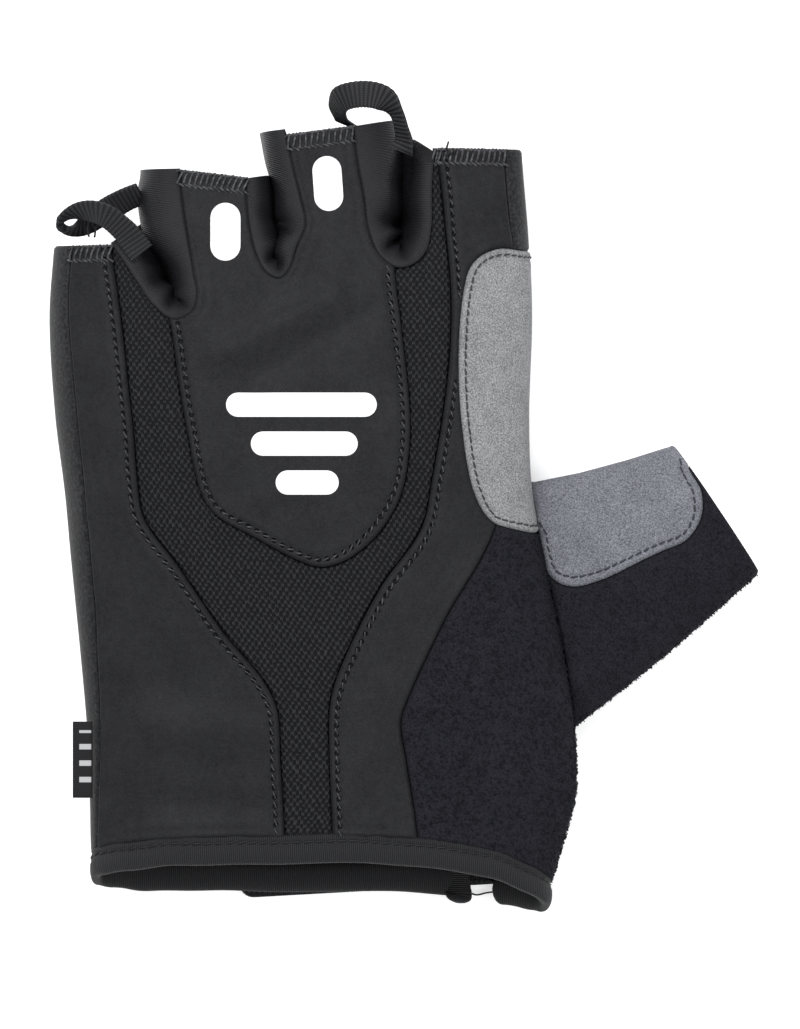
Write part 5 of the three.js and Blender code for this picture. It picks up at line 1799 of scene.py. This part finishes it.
lean = add_node(
    stitch_tree, "FunctionNodeRandomValue", {"data_type": "FLOAT"},
    {2: -uneven, 3: uneven, "Seed": given["Seed"]},
)
slant = Term(stitch_tree, given["Turn"]) + Term(stitch_tree, lean.outputs[1])
spin = add_node(stitch_tree, "FunctionNodeAxisAngleToRotation", None, {"Axis": (0, 0, 1), "Angle": slant})
facing = add_node(
    stitch_tree, "FunctionNodeRotateRotation", {"rotation_space": "LOCAL"},
    {"Rotation": head.outputs[0], "Rotate By": spin.outputs[0]},
)
longer = add_node(
    stitch_tree, "FunctionNodeRandomValue", {"data_type": "FLOAT"},
    {2: 1 - uneven, 3: 1 + uneven, "Seed": Term(stitch_tree, given["Seed"]) + 7},
)
stretch = add_node(
    stitch_tree, "ShaderNodeCombineXYZ", None, {0: longer.outputs[1], 1: 1.0, 2: longer.outputs[1]}
)
one = thread_shape(stitch_tree, given["Length"], given["Thickness"], given["Arch"])
sewn = add_node(
    stitch_tree, "GeometryNodeInstanceOnPoints", None,
    {"Points": steps.outputs[0], "Instance": one, "Rotation": facing.outputs[0],
     "Scale": stretch.outputs[0]},
)
finish_tree(stitch_tree, sewn.outputs[0], given["Material"], result)
print("stitch tree:", len(stitch_tree.nodes), "nodes")


# %% Run a tree and keep a plain mesh
def grow(piece, tree, **inputs):
    """Give the piece the mesh that the tree makes of it, with inputs set by their identifiers."""
    modifier = piece.modifiers.new("grow", "NODES")
    modifier.node_group = tree
    for item in tree.interface.items_tree:
        if item.item_type == "SOCKET" and item.in_out == "INPUT" and item.name in inputs:
            modifier[item.identifier] = inputs[item.name]
    shown = piece.evaluated_get(bpy.context.evaluated_depsgraph_get())
    grown = bpy.data.meshes.new_from_object(shown)
    piece.modifiers.remove(modifier)
    piece.data = grown
    return piece


def sew(name, lines, finish, **sizes):
    """Stitches along lines of points and normals; sizes are in millimetres, angles in radians."""
    points, ups, edges = [], [], []
    for place, normal in lines:
        first = len(points)
        points += (np.asarray(place) * MM).tolist()
        ups += np.asarray(normal).tolist()
        edges += [(first + i, first + i + 1) for i in range(len(place) - 1)]
    path = bpy.data.meshes.new(name)
    path.from_pydata(points, edges, [])
    store = path.attributes.new("up", "FLOAT_VECTOR", "POINT")
    store.data.foreach_set("vector", np.array(ups, dtype=np.float32).ravel())
    piece = bpy.data.objects.new(name, path)
    bpy.context.scene.collection.objects.link(piece)
    angles = ("Turn", "Unevenness")
    inputs = {label: float(value) * (1 if label in angles else MM) for label, value in sizes.items()}
    grow(piece, stitch_tree, Material=finish.material, **inputs)
    print(name, len(piece.data.polygons), "faces")
    return piece


# %% [markdown]
# ## Seams, one after another
# Topstitching holds the turned edges of the smooth knit over the mesh. A finer row runs round the suede.
# The wrist tape has its own row near its upper edge. The finger openings are overlocked: slanted threads
# lie across the edge, a chain of small loops runs along their foot, and short threads close the rim.

# %% Topstitching and the suede's border
def from_half(line, pitch):
    """The line from half a pitch on, so that threads lie between the dips."""
    return evenly(line, 0.25, pitch / 2)


trims = {}
ON_TOP = 0.14  # how high over the cloth's skin the threads are laid
top_lines = [
    on_ground(Hand, from_half(seam, TOP_PITCH), ON_TOP)
    for name in ("outer_back_panel", "inner_back_panel", "knuckle_panel")
    for seam in seams[name]
]
trims["topstitching"] = sew(
    "cloth_topstitching", top_lines, thread,
    Pitch=TOP_PITCH, Length=1.25, Thickness=0.42, Arch=0.16, Turn=0.42,
)
suede_lines = [
    on_ground(ground, from_half(seams[name][0], SUEDE_PITCH), ON_TOP)
    for ground, name in ((Hand, "hand_suede_patch"), (Thumb, "thumb_suede_patch"))
]
trims["suede_stitching"] = sew(
    "cloth_suede_stitching", suede_lines, suede_thread,
    Pitch=SUEDE_PITCH, Length=1.3, Thickness=0.38, Arch=0.14, Turn=0.12,
)

# %% The wrist tape's row
GROOVE_AHEAD = 1.45  # from the tape's middle to its stitching
groove_angle = math.acos((GROOVE_AHEAD / (BINDING_WIDTH / 2)) ** (1 / 0.7))
groove_ahead, groove_out = binding_section(groove_angle)
groove = spine + outward * (groove_out + 0.3 * wobble + 0.05)[:, None]
groove[:, 1] += groove_ahead + wobble * 0.8
trims["binding_stitching"] = sew(
    "cloth_binding_stitching", [(groove[order], outward[order])], tape_thread,
    Pitch=2.3, Length=1.75, Thickness=0.5, Arch=0.14, Turn=0.16,
)

# %% Overlock on the finger openings
OVERLOCK_HEIGHT = 3.3
FINGER_EDGES = {
    "index": ("inner_back_panel", "mesh_panel"), "middle": ("knuckle_panel",),
    "ring": ("knuckle_panel",), "little": ("outer_back_panel",),
}
overlock_rows, chain_rows, rim_rows = [], [], []
for finger, owners in FINGER_EDGES.items():
    for owner in owners:
        for share, rows_of in ((0.5, overlock_rows), (0.98, chain_rows), (0.1, rim_rows)):
            row_line = moved(tops_back[finger], OVERLOCK_HEIGHT * share + 0.05)
            for stretch in stretches(row_line, outlines[owner], 0.1):
                rows_of.append(on_ground(Hand, stretch, CUTS[owner][0] + 0.12))
trims["overlock_threads"] = sew(
    "cloth_overlock_threads", overlock_rows, chain_thread,
    Pitch=1.13, Length=3.1, Thickness=0.52, Arch=0.34, Turn=1.3, Unevenness=0.09,
)
trims["overlock_chain"] = sew(
    "cloth_overlock_chain", chain_rows, chain_thread,
    Pitch=1.13, Length=1.45, Thickness=0.48, Arch=0.26, Turn=-0.45, Unevenness=0.15,
)
trims["overlock_rim"] = sew(
    "cloth_overlock_rim", rim_rows, chain_thread,
    Pitch=0.75, Length=1.25, Thickness=0.42, Arch=0.2, Turn=0.35, Unevenness=0.12,
)

# %% [markdown]
# ## Terry pile
# Brushed terry has a soft outline because short loops stand off it. A second tree scatters small bent
# threads over the outside of the thenar panel and the thumb stall, each leaning its own way.

# %% Scatter the pile
sizes = {
    "Density": ("Float", 3.0e6), "Length": ("Float", 0.0007), "Thickness": ("Float", 0.0002),
    "Seed": ("Int", 5), "Material": ("Material", None),
}
pile_tree, given, result = new_tree("pile", sizes)
from_edge, inner_side = (
    add_node(pile_tree, "GeometryNodeInputNamedAttribute", {"data_type": "FLOAT"}, {"Name": mark})
    for mark in ("edge", "inner")
)
clear = (Term(pile_tree, from_edge.outputs["Attribute"]) + 0.4).floor()
outside = (1 - Term(pile_tree, inner_side.outputs["Attribute"])).floor()
place = add_node(pile_tree, "GeometryNodeInputPosition")
parts = add_node(pile_tree, "ShaderNodeSeparateXYZ", None, {0: place.outputs[0]})
height = Term(pile_tree, parts.outputs[2])
off_floor = height.ramp(0.9 * MM, 1.4 * MM)
thick_here = Term(pile_tree, given["Density"]) * outside * clear.math("MINIMUM", clear, 1) * off_floor
roots = add_node(
    pile_tree, "GeometryNodeDistributePointsOnFaces", {"distribute_method": "RANDOM"},
    {"Mesh": given["Geometry"], "Density": thick_here, "Seed": given["Seed"]},
)
arch = Term(pile_tree, given["Length"]) * 0.45
tuft = thread_shape(pile_tree, given["Length"], given["Thickness"], arch)
any_way = add_node(
    pile_tree, "FunctionNodeRandomValue", {"data_type": "FLOAT_VECTOR"},
    {0: (-0.5, -0.5, 0.0), 1: (0.5, 0.5, 6.28), "Seed": given["Seed"]},
)
turned_way = add_node(pile_tree, "FunctionNodeEulerToRotation", None, {0: any_way.outputs[0]})
tilted = add_node(
    pile_tree, "FunctionNodeRotateRotation", {"rotation_space": "LOCAL"},
    {"Rotation": roots.outputs["Rotation"], "Rotate By": turned_way.outputs[0]},
)
any_size = add_node(
    pile_tree, "FunctionNodeRandomValue", {"data_type": "FLOAT"}, {2: 0.6, 3: 1.4, "Seed": 9}
)
grown_pile = add_node(
    pile_tree, "GeometryNodeInstanceOnPoints", None,
    {"Points": roots.outputs[0], "Instance": tuft, "Rotation": tilted.outputs[0],
     "Scale": any_size.outputs[1]},
)
finish_tree(pile_tree, grown_pile.outputs[0], given["Material"], result)
PILES = {
    # pile: the piece it grows on, tufts to a square metre
    "thenar_pile": ("thenar_panel", 0.95e6), "thumb_pile": ("thumb_stall", 0.8e6),
}
for name, (owner, density) in PILES.items():
    pile = bpy.data.objects.new("cloth_" + name, pieces[owner].data)
    bpy.context.scene.collection.objects.link(pile)
    trims[name] = grow(pile, pile_tree, Density=density, Material=terry.material)
    print(name, len(pile.data.polygons), "faces")

# %% [markdown]
# ## Into the frame
# Each dressed piece rides on the glove's one body and stands for its solid.

# %% Hand the pieces to the frame
SLOTS = {
    # piece: its slot; a piece stands for the solid of its own name
    "palm_panel": "palm_leather", "outer_back_panel": "back_knit", "mesh_panel": "air_mesh",
    "knuckle_panel": "back_knit", "inner_back_panel": "back_knit", "thenar_panel": "terry",
    "thumb_stall": "terry", "hand_suede_patch": "suede", "thumb_suede_patch": "suede",
    "gusset_little_ring": "gusset_knit", "gusset_ring_middle": "gusset_knit",
    "gusset_middle_index": "gusset_knit", "wrist_binding": "binding_knit", "slit_edge": "binding_knit",
    "fastening_tab": "hook_tape", "side_label": "label_cloth", "pull_loop_finger": "webbing",
    "pull_loop_side": "webbing", "reflective_oval_ring": "reflective_film",
    "reflective_oval_middle": "reflective_film", "reflective_bar_upper": "reflective_film",
    "reflective_bar_middle": "reflective_film", "reflective_bar_lower": "reflective_film",
}
SHARED_SOLIDS = {"slit_edge": "wrist_binding"}  # the tape round the slit is part of the binding's solid
pieces["wrist_binding"] = binding
pieces["slit_edge"] = slit_edge
for name, slot in SLOTS.items():
    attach(pieces[name], "root")
    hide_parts(SHARED_SOLIDS.get(name, name))

TRIM_SLOTS = {
    "topstitching": "back_knit", "suede_stitching": "suede", "binding_stitching": "binding_knit",
    "overlock_threads": "back_knit", "overlock_chain": "back_knit", "overlock_rim": "back_knit",
    "thenar_pile": "terry", "thumb_pile": "terry",
}
for i, piece in enumerate(loose_ends):
    trims["loose_thread_" + str(i)] = piece
    TRIM_SLOTS["loose_thread_" + str(i)] = "binding_knit"
for name, slot in TRIM_SLOTS.items():
    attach(trims[name], "root")

# %% Measure both boxes and print them
dressed_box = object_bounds()
boxes = {"cad": [list(c) for c in solid_box], "visual": [list(c) for c in dressed_box]}
for label, box in boxes.items():
    print(label, [[round(v / MM, 1) for v in corner] for corner in box])
